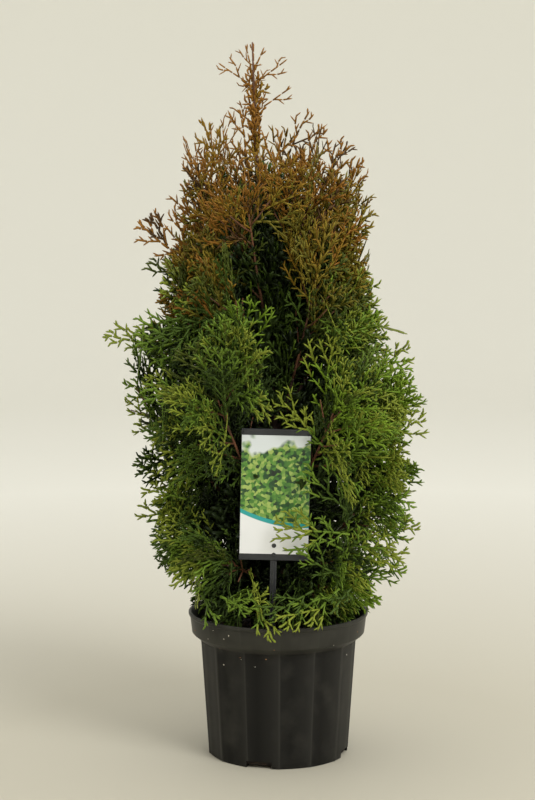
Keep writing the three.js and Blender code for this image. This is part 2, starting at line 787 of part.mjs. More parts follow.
place("pot", pot(), FINISH.pot);
place("soil", soil(), FINISH.soil);
place("label_holder", labelHolder(), FINISH.holder, label);
place("label_card", labelCard(), FINISH.card, label);
place("trunk", joined([trunk(0)]), FINISH.bark);
for (const branchOfTree of BRANCHES) {
  const { tier, name } = branchOfTree;
  if (tier.bough) place(`bough_${name}`, bough(branchOfTree), FINISH.bark);
  place(`foliage_${name}`, foliage(branchOfTree), FINISH[tier.name]);
}

export default plant;
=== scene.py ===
# A young arborvitae in a black nursery pot, with a picture label on a stem, dressed over its packed
# model. Growth is worked out in millimetres: the origin is the centre of the pot's flat underside,
# X runs to the right of the label, Y away from it and Z up. Angles run from +X towards +Y, so 270
# degrees is the front. Meshes are in metres.
import math
from collections import defaultdict
from dataclasses import dataclass

import bmesh
import bpy
import numpy as np
from mathutils import Matrix, Vector, noise


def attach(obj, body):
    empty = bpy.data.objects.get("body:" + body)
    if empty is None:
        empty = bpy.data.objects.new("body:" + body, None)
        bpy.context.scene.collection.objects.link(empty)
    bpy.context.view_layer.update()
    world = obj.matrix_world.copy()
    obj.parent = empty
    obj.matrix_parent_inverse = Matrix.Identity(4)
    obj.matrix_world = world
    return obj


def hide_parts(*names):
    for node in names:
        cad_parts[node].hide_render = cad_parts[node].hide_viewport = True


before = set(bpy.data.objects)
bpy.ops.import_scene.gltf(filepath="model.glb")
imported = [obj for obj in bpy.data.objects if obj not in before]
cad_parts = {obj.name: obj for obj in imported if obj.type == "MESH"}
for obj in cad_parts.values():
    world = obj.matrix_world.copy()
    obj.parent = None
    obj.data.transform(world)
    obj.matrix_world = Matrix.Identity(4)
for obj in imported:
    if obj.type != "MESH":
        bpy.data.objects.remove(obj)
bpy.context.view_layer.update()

MM = 0.001

# Camera, lights and floor, in metres
CAMERA_PLACE = (-0.011, -1.864, 0.556)
CAMERA_PITCH = math.radians(5.9)
CAMERA_LENS = 82.98  # millimetres, on a sensor 36 mm long
FLOOR_RADIUS = 3.4
COVE_RADIUS = 1.6  # of the bend from the floor up into the studio's round wall
COVE_STEPS = 12
COVE_SIDES = 96
WALL_HEIGHT = 3
FLOOR_ROUGHNESS = 0.7
FLOOR_COLOUR = (0.52, 0.49, 0.395)
WALL_COLOUR = (0.87, 0.86, 0.785)
FLOOR_FADE = (0.3, 1.8)  # distances from the pot between which the floor pales to the wall
SKY_COLOUR = (1, 0.985, 0.95, 1)
SKY_STRENGTH = 0.84
LIGHT_AIM = Vector((0, 0, 0.35))
LIGHTS = [
    {"name": "key_light", "place": (1.1, -1.5, 2.0), "size": 1.1, "power": 33},
    {"name": "top_light", "place": (-0.2, 0.3, 2.4), "size": 1.6, "power": 8},
]

# Pot
POT_HEIGHT = 147
POT_BASE_RADIUS = 72
POT_BODY_RADIUS = 80
BAND_RADIUS = 88.5
RIM_RADIUS = 92
BAND_FOOT = 125
BODY_TOP = 119
RIM_LIP = 3
POT_WALL = 2
POT_FLOOR = 3
POT_SIDES = 256
POT_SHARP = math.radians(40)  # a steeper edge isn't smoothed over
PANELS = 14
PANEL_SAG = 0.9  # how much flatter than the round a panel is at its middle
PANEL_HEIGHTS = [1, 8, 30, 60, 90, 112]  # where the body's wall has a ring of points
RIDGE_HEIGHT = 0.8
RIDGE_WIDTH = math.radians(1.5)
FIRST_RIDGE = math.radians(270.5)
DRAIN_COUNT = 4
DRAIN_WIDTH = 26
DRAIN_HEIGHT = 7
DRAIN_INSET = 12
DRAIN_FIRST = math.radians(254)
GRIT_COUNT = 26  # grains of each kind that cling to the pot
GRIT_HEIGHTS = (102, 140)
GRIT_RADII = (0.35, 0.8)
GRIT_FLATNESS = 0.6
GRIT_STRETCH = (0.7, 1.3)

# The pot's outline above its body and down its inside, as radius and height. Where a point misses the
# sizes above by a millimetre or so, it rounds an edge off.
POT_BAND = [
    (POT_BODY_RADIUS, BODY_TOP - 1), (POT_BODY_RADIUS + 1.2, BODY_TOP + 0.6),
    (BAND_RADIUS - 1.4, BAND_FOOT - 0.8), (BAND_RADIUS, BAND_FOOT + 0.8),
    (RIM_RADIUS - RIM_LIP / 2, POT_HEIGHT - RIM_LIP - 1.6),
    (RIM_RADIUS - 0.4, POT_HEIGHT - RIM_LIP - 0.6), (RIM_RADIUS, POT_HEIGHT - RIM_LIP + 0.4),
    (RIM_RADIUS, POT_HEIGHT - 0.8), (RIM_RADIUS - 0.8, POT_HEIGHT),
]
POT_INSIDE = [
    (RIM_RADIUS - RIM_LIP + 0.7, POT_HEIGHT), (RIM_RADIUS - RIM_LIP, POT_HEIGHT - 0.7),
    (BAND_RADIUS - POT_WALL, BAND_FOOT), (POT_BODY_RADIUS - POT_WALL, BODY_TOP),
    (POT_BASE_RADIUS - POT_WALL, POT_FLOOR), (0, POT_FLOOR),
]

# Potting soil
SOIL_EDGE = 125.4
SOIL_MIDDLE = 130
SOIL_ROUGHNESS = 2.2
SOIL_GRAIN = 0.09  # lumps per millimetre
SOIL_FADE = 6  # its lumps fade over the last sixth of the way to its edge
SOIL_GAP = 0.4  # between the soil and the pot's wall
SOIL_CLEAR = 0.3  # above the pot's floor, and at its band on top of the gap
SOIL_RINGS = 44
SOIL_SIDES = 120
SOIL_GRAINS = {"bark_chips": (520, (1.2, 4.6)), "soil_grit": (86, (0.7, 1.7))}  # count, half-lengths
CHIP_WIDTHS = (0.4, 0.8)  # of a chip's length
CHIP_HEIGHTS = (0.2, 0.4)
CHIPS_FROM = 0.03  # the share of the bed, round the trunk, that has none
CHIP_MARGIN = 3  # from the soil's edge
CHIP_RISE = 0.3  # of a chip's middle above the soil
CHIP_TILT = 0.6

# Label
LABEL_WIDTH = 69
LABEL_HEIGHT = 131
LABEL_FOOT = 210
LABEL_X = -5
LABEL_FRONT = -62
LABEL_LEAN = math.radians(1.3)
HOLDER_SOFTNESS = 0.35  # width of the bevel on its edges
CARD_SOFTNESS = 0.15
BEVEL_SEGMENTS = 2
BEVEL_ANGLE = math.radians(35)  # a blunter edge has no bevel
CARD_ROUGHNESS = 0.28
CARD_RIPPLE = {"scale": 25, "detail": 1}
CARD_RELIEF = (0.002, 0.15)

# The label's print: heights are shares of the card's height, and places across it of its width
PRINT_LEAVES = 330.0  # per metre
PRINT_TREES = {"scale": 45, "detail": 2}
PRINT_CONTRAST = 0.6
PRINT_SKYLINE = 1.13  # lowered by a noise, from 0 to 1, times PRINT_TREETOPS
PRINT_TREETOPS = 0.5
PRINT_BAND = (0.272, 0.305)  # foot and top of the teal band
PRINT_SKY_SOFTNESS = 0.02
PRINT_BAND_SOFTNESS = 0.002
PRINT_SLOPE = 0.11
PRINT_BEND = 0.14
PRINT_GREENS = [
    (0.2, (0.008, 0.016, 0.008)), (0.42, (0.02, 0.085, 0.02)), (0.6, (0.09, 0.26, 0.03)),
    (0.85, (0.38, 0.5, 0.12)),
]
PRINT_SKY = (0.74, 0.79, 0.8)
PRINT_TEAL = (0.02, 0.36, 0.35)
PRINT_WHITE = (0.86, 0.87, 0.87)

# Trunk: height, x, y and radius at its waypoints
TRUNK_WAYPOINTS = np.array([
    [130.3, 3, 4, 11],
    [146, 2, 4, 7.4],
    [250, 0, 3, 6],
    [380, -5, 1, 4.6],
    [500, -13, -2, 3.3],
    [600, -22, -3, 2],
])

# Crown outline: height, and the reach to the left and to the right of the pot's axis
CROWN_OUTLINE = np.array([
    [130, 94, 96],
    [155, 98, 100],
    [190, 116, 126],
    [240, 138, 144],
    [300, 138, 138],
    [355, 152, 144],
    [405, 160, 138],
    [430, 181, 132],
    [450, 140, 104],
    [470, 122, 94],
    [505, 122, 87],
    [525, 107, 88],
    [555, 105, 91],
    [600, 101, 86],
    [630, 95, 62],
    [660, 60, 32],
    [705, 62, 12],
    [721, 40, 6],
])
DEPTH_SHARE = 0.93
RAGGEDNESS = 0.19  # the most that the foliage falls short of the outline, between its tips
RAGGED_STEP = 34  # millimetres from one tip to the next
RAGGED_CONTRAST = 1.2
RAGGED_HEIGHT = 300  # tips are spaced round the crown as they are at this height
STANDS_OUT = 8  # how far the foremost tips stand out of the outline
RIM_CLEARANCE = 3
SOIL_CLEARANCE = 5

# Spaces at the front that foliage keeps out of: the label's, and the dark hollow above it
LABEL_SPACE = {"left": -46, "right": 38, "foot": 196, "top": 352, "front": -54}
HOLLOW_SPACE = {"left": -18, "right": 24, "foot": 352, "top": 500, "front": -26}

# The dark hollow's outline as the foliage leaves it: height, left and right
HOLLOW_OUTLINE = np.array([
    [348, -2, 32],
    [416, -17, 33],
    [457, -32, 28],
    [499, -40, 18],
    [524, -38, 2],
    [548, -30, -12],
])

# Tiers of branches, as the solids have them. The lowest leaves the trunk at `root`, the others a
# multiple of `root_step` above it. A branch's bend lies at `spread` of the way to its tip, raised by
# `arch`. `bough` is the share of it that is bare, and `spray` the usual length of its sprays. `droop`
# leans its shoots and sprays down, and `lift` bends them up by their tips.
TIERS = [
    {
        "name": "skirt", "root": 139, "root_step": 2, "spread": 0.5, "arch": 22, "bough": 0,
        "spray": 60, "droop": 0.25, "lift": -0.3,
        "angles": [190, 282, 322, 15, 80, 137],
        "tips": [160, 152, 186, 168, 162, 170],
    },
    {
        "name": "low", "root": 164, "root_step": 6, "spread": 0.6, "arch": -34, "bough": 0.33,
        "spray": 78, "droop": 0.28, "lift": -0.28,
        "angles": [182, 230, 272, 318, 2, 65, 125],
        "tips": [302, 262, 330, 244, 345, 290, 315],
    },
    {
        "name": "middle", "root": 216, "root_step": 6, "spread": 0.6, "arch": -42, "bough": 0.3,
        "spray": 78, "droop": 0.06, "lift": -0.12,
        "angles": [178, 234, 303, 357, 55, 115],
        "tips": [430, 446, 432, 405, 430, 410],
    },
    {
        "name": "upper", "root": 300, "root_step": 6, "spread": 0.6, "arch": -40, "bough": 0.3,
        "spray": 72, "droop": 0, "lift": 0.02,
        "angles": [190, 236, 302, 352, 50, 122],
        "tips": [555, 540, 560, 532, 545, 520],
    },
    {
        "name": "shoulder", "root": 398, "root_step": 6, "spread": 0.6, "arch": -34, "bough": 0.26,
        "spray": 60, "droop": 0.05, "lift": 0.02,
        "angles": [186, 246, 308, 10, 95],
        "tips": [630, 612, 630, 604, 622],
    },
]
LEADER = {"name": "leader", "bough": 0, "spray": 36, "droop": 0, "lift": 0.15, "spread": 0.5}
LEADER_TIP = Vector((-26, -4, 721))
INNER = {"name": "inner"}

# Limbs and twigs
CLEAR = 0.3  # between a bough's end and its foliage's stem
BOUGH_RADIUS = 2.8
BOUGH_SHARE = 0.7  # the most that a bough's radius is of the trunk's
STEM_RADII = (1.7, 0.8)  # at the foot and at the tip
STEM_STOPS_SHORT = 1
STEM_JOINTS = 12
SHOOT_RADII = (1.0, 0.6)
TRUNK_SIDES = 30
BOUGH_SIDES = 14
BOUGH_FLARE = 0.5  # how much wider a bough is where it leaves the trunk
FLARE_SHORTNESS = 3  # the flare ends at one third of a bough's length
TWIG_SIDES = 5
BARK_STEP = 3.5  # between the rings of bark
BARK_RELIEF = 0.16  # of a limb's radius
BARK_GRAIN = Vector((0.5, 0.5, 0.06))  # fibres per millimetre, across and along

# Coarser sprays inside the crown, round the trunk, in a near-black tint that is painted shade
INNER_STEP = 1.5
INNER_RISE = (0.4, 2.2)
INNER_TOP = 530
INNER_OVER_TOP = 20
INNER_REACH = 0.72  # of the crown's reach
INNER_LENGTH = 95
INNER_LENGTHS = (0.75, 1.0)
INNER_COARSENESS = 2.2
INNER_WIDE_TOP = 350  # the height below which these sprays are more and start further out
INNER_SPREAD = 40
INNER_WIDE_LENGTH = 0.75  # of the length higher up
INNER_WIDE_STEP = 0.55  # of the step higher up
HOLLOW_HEIGHTS = range(330, 546, 4)  # where upright sprays stand before the trunk
HOLLOW_PALER = 480  # the height above which these are mossy, where they aren't dark
# Most hollow sprays get the dark tint as painted shade
HOLLOW_SHADE_SHARE = 0.6  # the share that is dark
HOLLOW_LENGTH = 62
HOLLOW_LENGTHS = (0.8, 1.1)
HOLLOW_ROOM = ((-24, 24), (-26, -8))  # where these stand, across and in front of the trunk
HOLLOW_LEANS = ((-0.35, 0.35), (-0.2, 0.1))

# Foliage on a stem: shoots that each carry sprays, and sprays on the stem itself
SHOOT_COUNT = 14
SHOOTS_FROM, SHOOTS_TO = 0.03, 0.93  # of the stem's length
SHOOT_PLACES = (0.1, 0.9)  # of a shoot, on its own stretch of the stem
SHOOT_SHARE = 0.46  # a shoot's length, of the stem's
SHOOT_SHARES = (1.1, 0.6)  # of that length, at the stem's foot and at its tip
SHOOT_ANGLE = math.radians(46)
SHOOT_LENGTHS = (0.85, 1.15)
SHOOT_LIFT = 0.5  # of its tier's lift
SHOOT_RISE = 0.12
SHOOT_JOINT = 14
SHORTEST_SHOOT = 12
SHOOT_SPRAYS_FROM, SHOOT_SPRAYS_TO = 0.25, 0.96  # of the shoot's length
SHOOT_SPRAY_STARTS = (0.6, 1.2)  # of the first spray's usual place
SHOOT_SPRAY_STEP = 7.6
SHOOT_SPRAY_STEPS = (0.85, 1.15)
SHOOT_SPRAYS = (0.75, 1.25)  # their lengths against the tier's
SHOOT_SPRAY_TWIST = 0.3
SHOOT_SPRAY_WANDER = 0.2
END_SPRAYS = (0.9, 1.25)  # the same, of the spray at a shoot's end
END_WANDER = 0.15
STEM_SPRAY_STEP = 6
STEM_SPRAYS = (0.75, 1.1)  # the same, of sprays on the stem
STEM_SPRAY_TURN = 1.9  # from the shoots round the stem
STEM_SPRAY_WANDER = 0.9
TIP_LEANS = (0, 0.5, -0.5)  # of the sprays at a stem's tip
TIP_SHORTER = 0.4  # what a lean takes off their length
SPRAY_ANGLE = math.radians(38)
GOLDEN_ANGLE = math.radians(137.5)
SHORTER = [1, 0.8, 0.64, 0.5]  # the shares of a length that are tried, until one fits
SPRAY_TRIES = 4
SPRAY_MIDDLE = 0.55  # of its length, where it is tested at its middle and at its sides
SPRAY_MIDDLE_LIFT = 0.3
SPRAY_SIDE = 0.3
SPRAY_CUP = (-0.35, 0.1)  # how far its sides bend off its plane
LIFT_WANDER = 0.08
SPACE_OVERLAP = 40  # how far a spray may reach into its neighbour's space
LINE_STEPS = 14
SEED = 4713  # of the first branch: the others count on from it
INNER_SEED = SEED - 1
LONE_SEED = SEED - 2
GRIT_SEED = SEED + 500
CHIP_SEED = SEED + 600

# The leading shoot: slim sparse sprays at its tip: the height of each one's foot, and where its tip lies
ANTLER_WIDTH = 1.6
ANTLER_OPENNESS = 1.5
ANTLERS = [
    (676, (-61, -10, 703)),
    (684, (-36, 0, 718)),
    (680, (10, -8, 705)),
    (692, (-14, -2, 716)),
    (652, (14, -14, 673)),
    (640, (-46, 10, 658)),
    (668, (-22, 26, 700)),
    (694, LEADER_TIP),
]
PLUME = (604, 676)  # the heights between which it is dense
PLUME_SPRAY = 24
PLUME_STEP = 2.7
PLUME_LENGTHS = (0.8, 1.2)
PLUME_LEAN = (0.2, 0.45)
PLUME_COPPER = 0.6  # the share that is copper, not bronze

# Sprays that stand out of the crown, line its hollow, and hang over the label and the rim: where each
# one's foot and tip lie, and its tint
LONE_SPRAYS = [
    ((-92, -8, 506), (-146, 0, 540), "copper"),
    ((-112, -4, 520), (-126, 0, 556), "brown"),
    ((-88, 4, 480), (-132, -2, 500), "moss"),
    ((-132, 0, 420), (-177, -4, 431), "yellow"),
    ((-104, -8, 412), (-150, -6, 440), "fresh"),
    ((-112, -10, 350), (-154, -10, 384), "green"),
    ((-104, -16, 280), (-146, -14, 306), "green"),
    ((-98, -16, 238), (-143, -16, 256), "fresh"),
    ((-84, -22, 194), (-124, -20, 206), "green"),
    ((62, -4, 560), (86, -8, 602), "bronze"),
    ((58, -14, 516), (92, -10, 556), "golden"),
    ((96, -10, 388), (132, -14, 424), "bright"),
    ((96, -16, 358), (136, -18, 394), "bright"),
    ((102, -16, 318), (148, -16, 350), "yellow"),
    ((92, -40, 262), (138, -36, 268), "bright"),
    ((86, -40, 208), (132, -36, 214), "fresh"),
    ((-92, -44, 268), (-138, -36, 276), "fresh"),
    ((-88, -44, 214), (-130, -36, 228), "green"),
    ((94, -20, 276), (138, -20, 300), "bright"),
    ((98, -18, 224), (143, -18, 238), "fresh"),
    ((84, -22, 184), (132, -24, 190), "bright"),
    ((36, -48, 436), (26, -66, 528), "golden"),
    ((36, -52, 486), (8, -64, 546), "olive"),
    ((26, -44, 440), (8, -52, 474), "green"),
    ((-40, -56, 392), (-44, -76, 474), "bright"),
    ((-56, -60, 356), (-62, -88, 436), "fresh"),
    ((-30, -56, 352), (-34, -76, 424), "fresh"),
    ((44, -56, 350), (52, -84, 436), "bright"),
    ((64, -72, 222), (-2, -80, 262), "fresh"),
    ((70, -74, 238), (14, -84, 246), "fresh"),
    ((66, -74, 262), (24, -82, 300), "green"),
    ((60, -74, 196), (20, -84, 226), "green"),
    ((34, -62, 338), (-6, -72, 372), "yellow"),
    ((46, -66, 322), (14, -74, 362), "fresh"),
    ((40, -80, 178), (2, -102, 145), "fresh"),
    ((-26, -80, 176), (-4, -101, 142), "fresh"),
    ((34, -84, 184), (-14, -99, 162), "green"),
    ((-78, -56, 176), (-60, -80, 150), "green"),
    ((60, -74, 184), (24, -98, 158), "fresh"),
    ((72, -72, 184), (50, -90, 162), "green"),
    ((-58, -72, 176), (-26, -90, 164), "fresh"),
    ((-50, -78, 162), (-10, -92, 180), "fresh"),
    ((-30, -8, 598), (-42, -10, 656), "copper"),
    ((-54, -10, 586), (-73, -12, 642), "bronze"),
    ((6, -10, 598), (27, -12, 658), "brown"),
    ((24, -10, 586), (44, -12, 640), "copper"),
    ((42, -10, 572), (62, -12, 628), "bronze"),
    ((-44, -40, 480), (-28, -58, 548), "moss"),
]

# A spray's middle twig and branchlets, in millimetres and shares of its length
AXIS_JOINT = 10
AXIS_BEND = 0.09
BRANCHLET_STEP = 8.4
BRANCHLET_STEPS = (0.85, 1.2)  # each step, against the usual one
BRANCHLETS_FROM, BRANCHLETS_TO = (0.1, 0.2), 0.97
BRANCHLET_WIDTH = 2.6
BRANCHLET_WIDTHS = (0.85, 1.05)
BRANCHLET_REACH = 0.6
BRANCHLET_REACHES = (0.75, 1.15)
SHORTEST_BRANCHLET = 5
LEAFLESS_BRANCHLET = 8  # a shorter one is a single blade
BRANCHLET_ANGLES = (48, 27)  # degrees, at the foot and at the tip of a spray
BRANCHLET_WANDER = 6
BRANCHLET_CURL = (6, 20)
WIDEST_AT = 0.35
SWELL_POWERS = (0.7, 0.8)  # how roundly a spray widens, and narrows to its tip
LEAF_STEP = 5.2
LEAVES_FROM, LEAVES_TO = 0.24, 0.93  # of a branchlet's reach
LEAF_ANGLE = math.radians(40)
LEAF_WANDER = 0.12
SHORTEST_LEAF = 4.6
LONGEST_LEAF = 9
LEAF_SIZES = (0.8, 1.15)
LEAF_GROWTH = 0.38  # what a leaf gains per millimetre from the branchlet's tip
LEAF_THICKNESS = 0.4  # of its width

# Widths of blades where they start and where they end, as shares of their branchlet's
AXIS_WIDTHS = (1.1, 0.85)  # at the spray's foot and at its tip
AXIS_TAPER = (1, 0.95)
SINGLE_WIDTHS = (0.8, 1)
NEAR_WIDTHS = (0.85, 1)
FAR_WIDTHS = (1, 0.9)
LEAF_WIDTHS = (0.83, 0.64)

# Sprays become slim and sparse between two heights. Openness is how far apart a spray's branchlets and
# leaves stand, against the usual.
HIGH = (520, 600)
HIGH_WIDTH = 2.1
HIGH_OPENNESS = 1.4

# Which way a flat spray faces: outwards, or to a side where it stands on edge like a fin
FIN_CHANCES = (0.15, 0.75)  # how often a spray stands on edge, at the front and at the sides
FIN_TWIST = 0.6
FACE_TWIST = 1.1
LONE_TWIST = 0.3
STEEP = 0.7  # the rise past which a spray on edge is turned outwards

# Colours along each panel of the pot, from crease to crease, and the dust on its plastic
# Pale creases are partly stress-whitening, partly painted highlight; each panel brightening to its next
# crease is painted reflection.
POT_CREASES_AND_PAINTED_LIGHT = [
    (0, (0.036, 0.035, 0.031)), (0.04, (0.014, 0.0137, 0.0125)), (0.35, (0.0095, 0.0093, 0.0084)),
    (0.8, (0.018, 0.0176, 0.0158)), (0.97, (0.025, 0.0245, 0.022)), (1, (0.036, 0.035, 0.031)),
]
POT_DUST = {"scale": 30, "detail": 6}
POT_DUST_EDGE = (0.64, 0.12)  # where it starts, and how softly
POT_DUST_COLOUR = (0.03, 0.029, 0.025)
BAND_DUST_COLOUR = (0.055, 0.054, 0.045)
POT_ROUGHNESS = (0.3, 0.5)  # where it is clean and where it is dusty
POT_SHEEN = 0.12
POT_FLOW = {"scale": 420, "detail": 2, "stretch": (1, 1, 0.1)}  # faint streaks down the plastic
POT_RELIEF = (0.0002, 0.25)

TONE_PLACES = (0.35, 0.65)  # of two tones, on the noise that mixes them

# Finishes of one colour pattern and one grain. `bump` is the grain's depth in metres and its strength.
FINISHES = {
    "fibrous_bark": {
        "Roughness": 0.85, "pattern": {"scale": 260, "detail": 4, "stretch": (1, 1, 0.12)},
        "bump": (0.0012, 0.9),
        "stops": [(0.3, (0.016, 0.009, 0.006)), (0.5, (0.055, 0.027, 0.015)), (0.68, (0.12, 0.065, 0.036))],
    },
    "reddish_twigs": {
        "Roughness": 0.7, "pattern": {"scale": 40}, "grain": {"scale": 500, "stretch": (1, 1, 0.3)},
        "bump": (0.0004, 0.7), "stops": [(0.35, (0.075, 0.03, 0.014)), (0.6, (0.16, 0.062, 0.026))],
    },
    "peat_soil": {
        "Roughness": 0.95, "pattern": {"scale": 300, "detail": 5}, "bump": (0.002, 1.0),
        "stops": [(0.35, (0.006, 0.004, 0.003)), (0.6, (0.026, 0.016, 0.01)), (0.8, (0.07, 0.045, 0.028))],
    },
    "slate_holder_plastic": {
        "Roughness": 0.4, "pattern": {"scale": 60, "detail": 4}, "grain": {"scale": 1500, "detail": 1},
        "bump": (0.0001, 0.3), "stops": [(0.4, (0.018, 0.02, 0.023)), (0.7, (0.028, 0.03, 0.034))],
    },
}
CHIP_FINISH = {"pattern": {"scale": 120}, "grain": {"scale": 900}, "bump": (0.0004, 0.6)}

# Small grains: each kind's two colours and its roughness
CHIPS = {
    "pale_grit": ((0.5, 0.45, 0.36), (0.75, 0.7, 0.6), 0.8),
    "tan_grit": ((0.3, 0.13, 0.04), (0.45, 0.22, 0.08), 0.8),
    "bark_chips": ((0.02, 0.011, 0.006), (0.09, 0.05, 0.027), 0.9),
    "soil_grit": ((0.45, 0.42, 0.36), (0.7, 0.67, 0.6), 0.85),
}

# Leaf colours: each pair is a base tint and the tint that it varies to
LEAF_TINTS = {
    # The first tint, near-black, is painted shade inside the crown; the dark one is partly a darker green,
    # partly painted shade
    "painted_shade": [(0.009, 0.016, 0.004), (0.015, 0.025, 0.006)],
    "dark": [(0.024, 0.042, 0.008), (0.036, 0.06, 0.011)],
    "green": [(0.052, 0.09, 0.012), (0.072, 0.122, 0.016)],
    "fresh": [(0.115, 0.195, 0.02), (0.16, 0.25, 0.026)],
    "bright": [(0.14, 0.235, 0.018), (0.195, 0.3, 0.024)],
    "yellow": [(0.2, 0.25, 0.028), (0.26, 0.31, 0.036)],
    "moss": [(0.06, 0.08, 0.012), (0.085, 0.108, 0.016)],
    "olive": [(0.135, 0.12, 0.014), (0.185, 0.16, 0.02)],
    "golden": [(0.19, 0.145, 0.014), (0.25, 0.18, 0.019)],
    "bronze": [(0.22, 0.13, 0.012), (0.28, 0.16, 0.017)],
    "copper": [(0.24, 0.108, 0.014), (0.31, 0.14, 0.02)],
    "brown": [(0.07, 0.038, 0.012), (0.105, 0.055, 0.018)],
}
LEAF_FINISH = {
    "Roughness": 0.5, "pattern": {"scale": 55}, "grain": {"scale": 700, "detail": 1},
    "bump": (0.0004, 0.6), "Specular_IOR_Level": 0.2,
}
TIP_TINTS = {
    "painted_shade": "dark", "dark": "green", "green": "fresh", "fresh": "yellow", "bright": "yellow",
    "yellow": "yellow", "moss": "yellow", "olive": "golden", "golden": "bronze", "bronze": "copper",
    "copper": "copper", "brown": "copper",
}
BRIGHT_TIPS = 0.45  # the share of sprays whose tips differ in tint
TIP_SHARE = 0.7  # of a spray's length, past which its tips start

# How a tint is dealt. Depths are shares of the crown's reach, from the trunk outwards.
# Darker tints inside the crown and on its left are painted shade, and paler ones on its sunny right painted
# light
SHADE_DEPTHS = ([480, 560, 590, 600], [0.64, 0.5, 0.3, 0])  # up to which it is dark, by height
RISING_CHANCES = {
    "bronze": ([515, 570, 600, 640], [0, 0.4, 0.85, 1]),
    "olive": ([450, 480, 520, 570], [0, 0.2, 0.6, 0.95]),
    "moss": ([200, 330, 430, 500], [0.04, 0.08, 0.2, 0.8]),
}
BRONZES = ["bronze", "copper", "bronze", "copper", "brown"]
DARKEST_SHADE_CHANCE = 0.5
BROWN_HEART = {"above": 600, "depth": 0.35, "chance": 0.5}
BROWN_EDGE = {"left_of": -60, "from": 460, "to": 560, "chance": 0.25, "brown": 0.4}
YELLOW_EDGE = {"left_of": -20, "from": 260, "to": 480, "chance": 0.2}
GOLDEN_CHANCE = 0.3
YELLOW_CHANCE = 0.07
SUNNY = (-20, 40)  # X from which the crown is less and less shaded, and where it is full in the light
SUNNY_YELLOW = 0.12
OUTER_DEPTH = 0.85

# Chances of a tint on the shaded and on the sunny side, inside that depth and outside it
INNER_DARK = (0.7, 0.34)
INNER_FRESH = (0, 0.4)
OUTER_BRIGHT = (0, 0.55)
OUTER_FRESH = (0.45, 0.82)
OUTER_GREEN = (0.68, 0.9)


# Numbers and lines

def seeded(seed):
    """A repeatable run of numbers, from 0 to 1 or between two given ones."""
    state = seed & 0xFFFFFFFF

    def draw(low=0.0, high=1.0):
        nonlocal state
        state = (state * 1664525 + 1013904223) & 0xFFFFFFFF
        return low + (high - low) * state / 4294967296

    return draw


def lerp(start, end, share):
    return start + (end - start) * share


def polar(radius, angle, z):
    return Vector((radius * math.cos(angle), radius * math.sin(angle), z))


def trunk_point(z):
    heights = TRUNK_WAYPOINTS[:, 0]
    return Vector((np.interp(z, heights, TRUNK_WAYPOINTS[:, 1]),
                   np.interp(z, heights, TRUNK_WAYPOINTS[:, 2]), z))


def trunk_radius(z):
    return float(np.interp(z, TRUNK_WAYPOINTS[:, 0], TRUNK_WAYPOINTS[:, 3]))


class Curve:
    """A curve with one bend point, as the solids' branches have."""

    def __init__(self, root, bend, tip):
        self.root, self.bend, self.tip = root, bend, tip

    def point(self, t):
        return self.root * (1 - t) ** 2 + self.bend * (2 * (1 - t) * t) + self.tip * t ** 2

    def tangent(self, t):
        slope = (self.bend - self.root) * (1 - t) + (self.tip - self.bend) * t
        return slope.normalized()

    def length(self, steps=60):
        points = [self.point(i / steps) for i in range(steps + 1)]
        return sum((b - a).length for a, b in zip(points, points[1:]))


# The crown's shape

def crown_reach(angle, z):
    heights = CROWN_OUTLINE[:, 0]
    share = (1 + math.cos(angle)) / 2
    side = lerp(np.interp(z, heights, CROWN_OUTLINE[:, 1]),
                np.interp(z, heights, CROWN_OUTLINE[:, 2]), share)
    return float(side * lerp(DEPTH_SHARE, 1, abs(math.cos(angle))))


def clearing_at(point):
    for space in (LABEL_SPACE, HOLLOW_SPACE):
        inside_x = space["left"] < point.x < space["right"]
        inside_z = space["foot"] < point.z < space["top"]
        if inside_x and inside_z and point.y < space["front"]:
            return space
    return None


def in_label_space(point):
    return clearing_at(point) is LABEL_SPACE


def in_hollow(point):
    heights = HOLLOW_OUTLINE[:, 0]
    if point.y > HOLLOW_SPACE["front"] or not heights[0] < point.z < heights[-1]:
        return False
    left = np.interp(point.z, heights, HOLLOW_OUTLINE[:, 1])
    return left < point.x < np.interp(point.z, heights, HOLLOW_OUTLINE[:, 2])


def branch_tip(angle, z):
    tip = polar(crown_reach(angle, z), angle, z)
    space = clearing_at(tip)
    return polar(space["front"] / math.sin(angle), angle, z) if space else tip


class Branch:
    """One branch: the curve that its bough and its foliage's stem share."""

    def __init__(self, tier, number, root, bend, tip, index):
        self.tier = tier
        self.node = f"{tier['name']}_{number}" if number else tier["name"]
        self.curve = Curve(root, bend, tip)
        self.index = index
        length = self.curve.length()
        chord = (tip - root).to_2d()
        self.side = Vector((-chord.y, chord.x, 0)).normalized()
        self.stem_from = tier["bough"] + CLEAR / length if tier["bough"] else 0
        self.stem_to = 1 - STEM_STOPS_SHORT * tier["spray"] / length
        self.stem_length = length * (self.stem_to - self.stem_from)

    def at(self, share):
        return self.curve.point(lerp(self.stem_from, self.stem_to, share))

    def along(self, share):
        return self.curve.tangent(lerp(self.stem_from, self.stem_to, share))


def all_branches():
    branches = []
    for tier in TIERS:
        count = len(tier["angles"])
        for i, (degrees, tip_height) in enumerate(zip(tier["angles"], tier["tips"])):
            root = trunk_point(tier["root"] + tier["root_step"] * ((2 * i) % (count | 1)))
            tip = branch_tip(math.radians(degrees), tip_height)
            bend = root.lerp(tip, tier["spread"]) + Vector((0, 0, tier["arch"]))
            branches.append(Branch(tier, i + 1, root, bend, tip, len(branches)))
    root = trunk_point(TRUNK_WAYPOINTS[-1][0]) + Vector((0, 0, CLEAR))
    bend = root.lerp(LEADER_TIP, LEADER["spread"])
    branches.append(Branch(LEADER, 0, root, bend, LEADER_TIP, len(branches)))
    return branches


BRANCHES = all_branches()


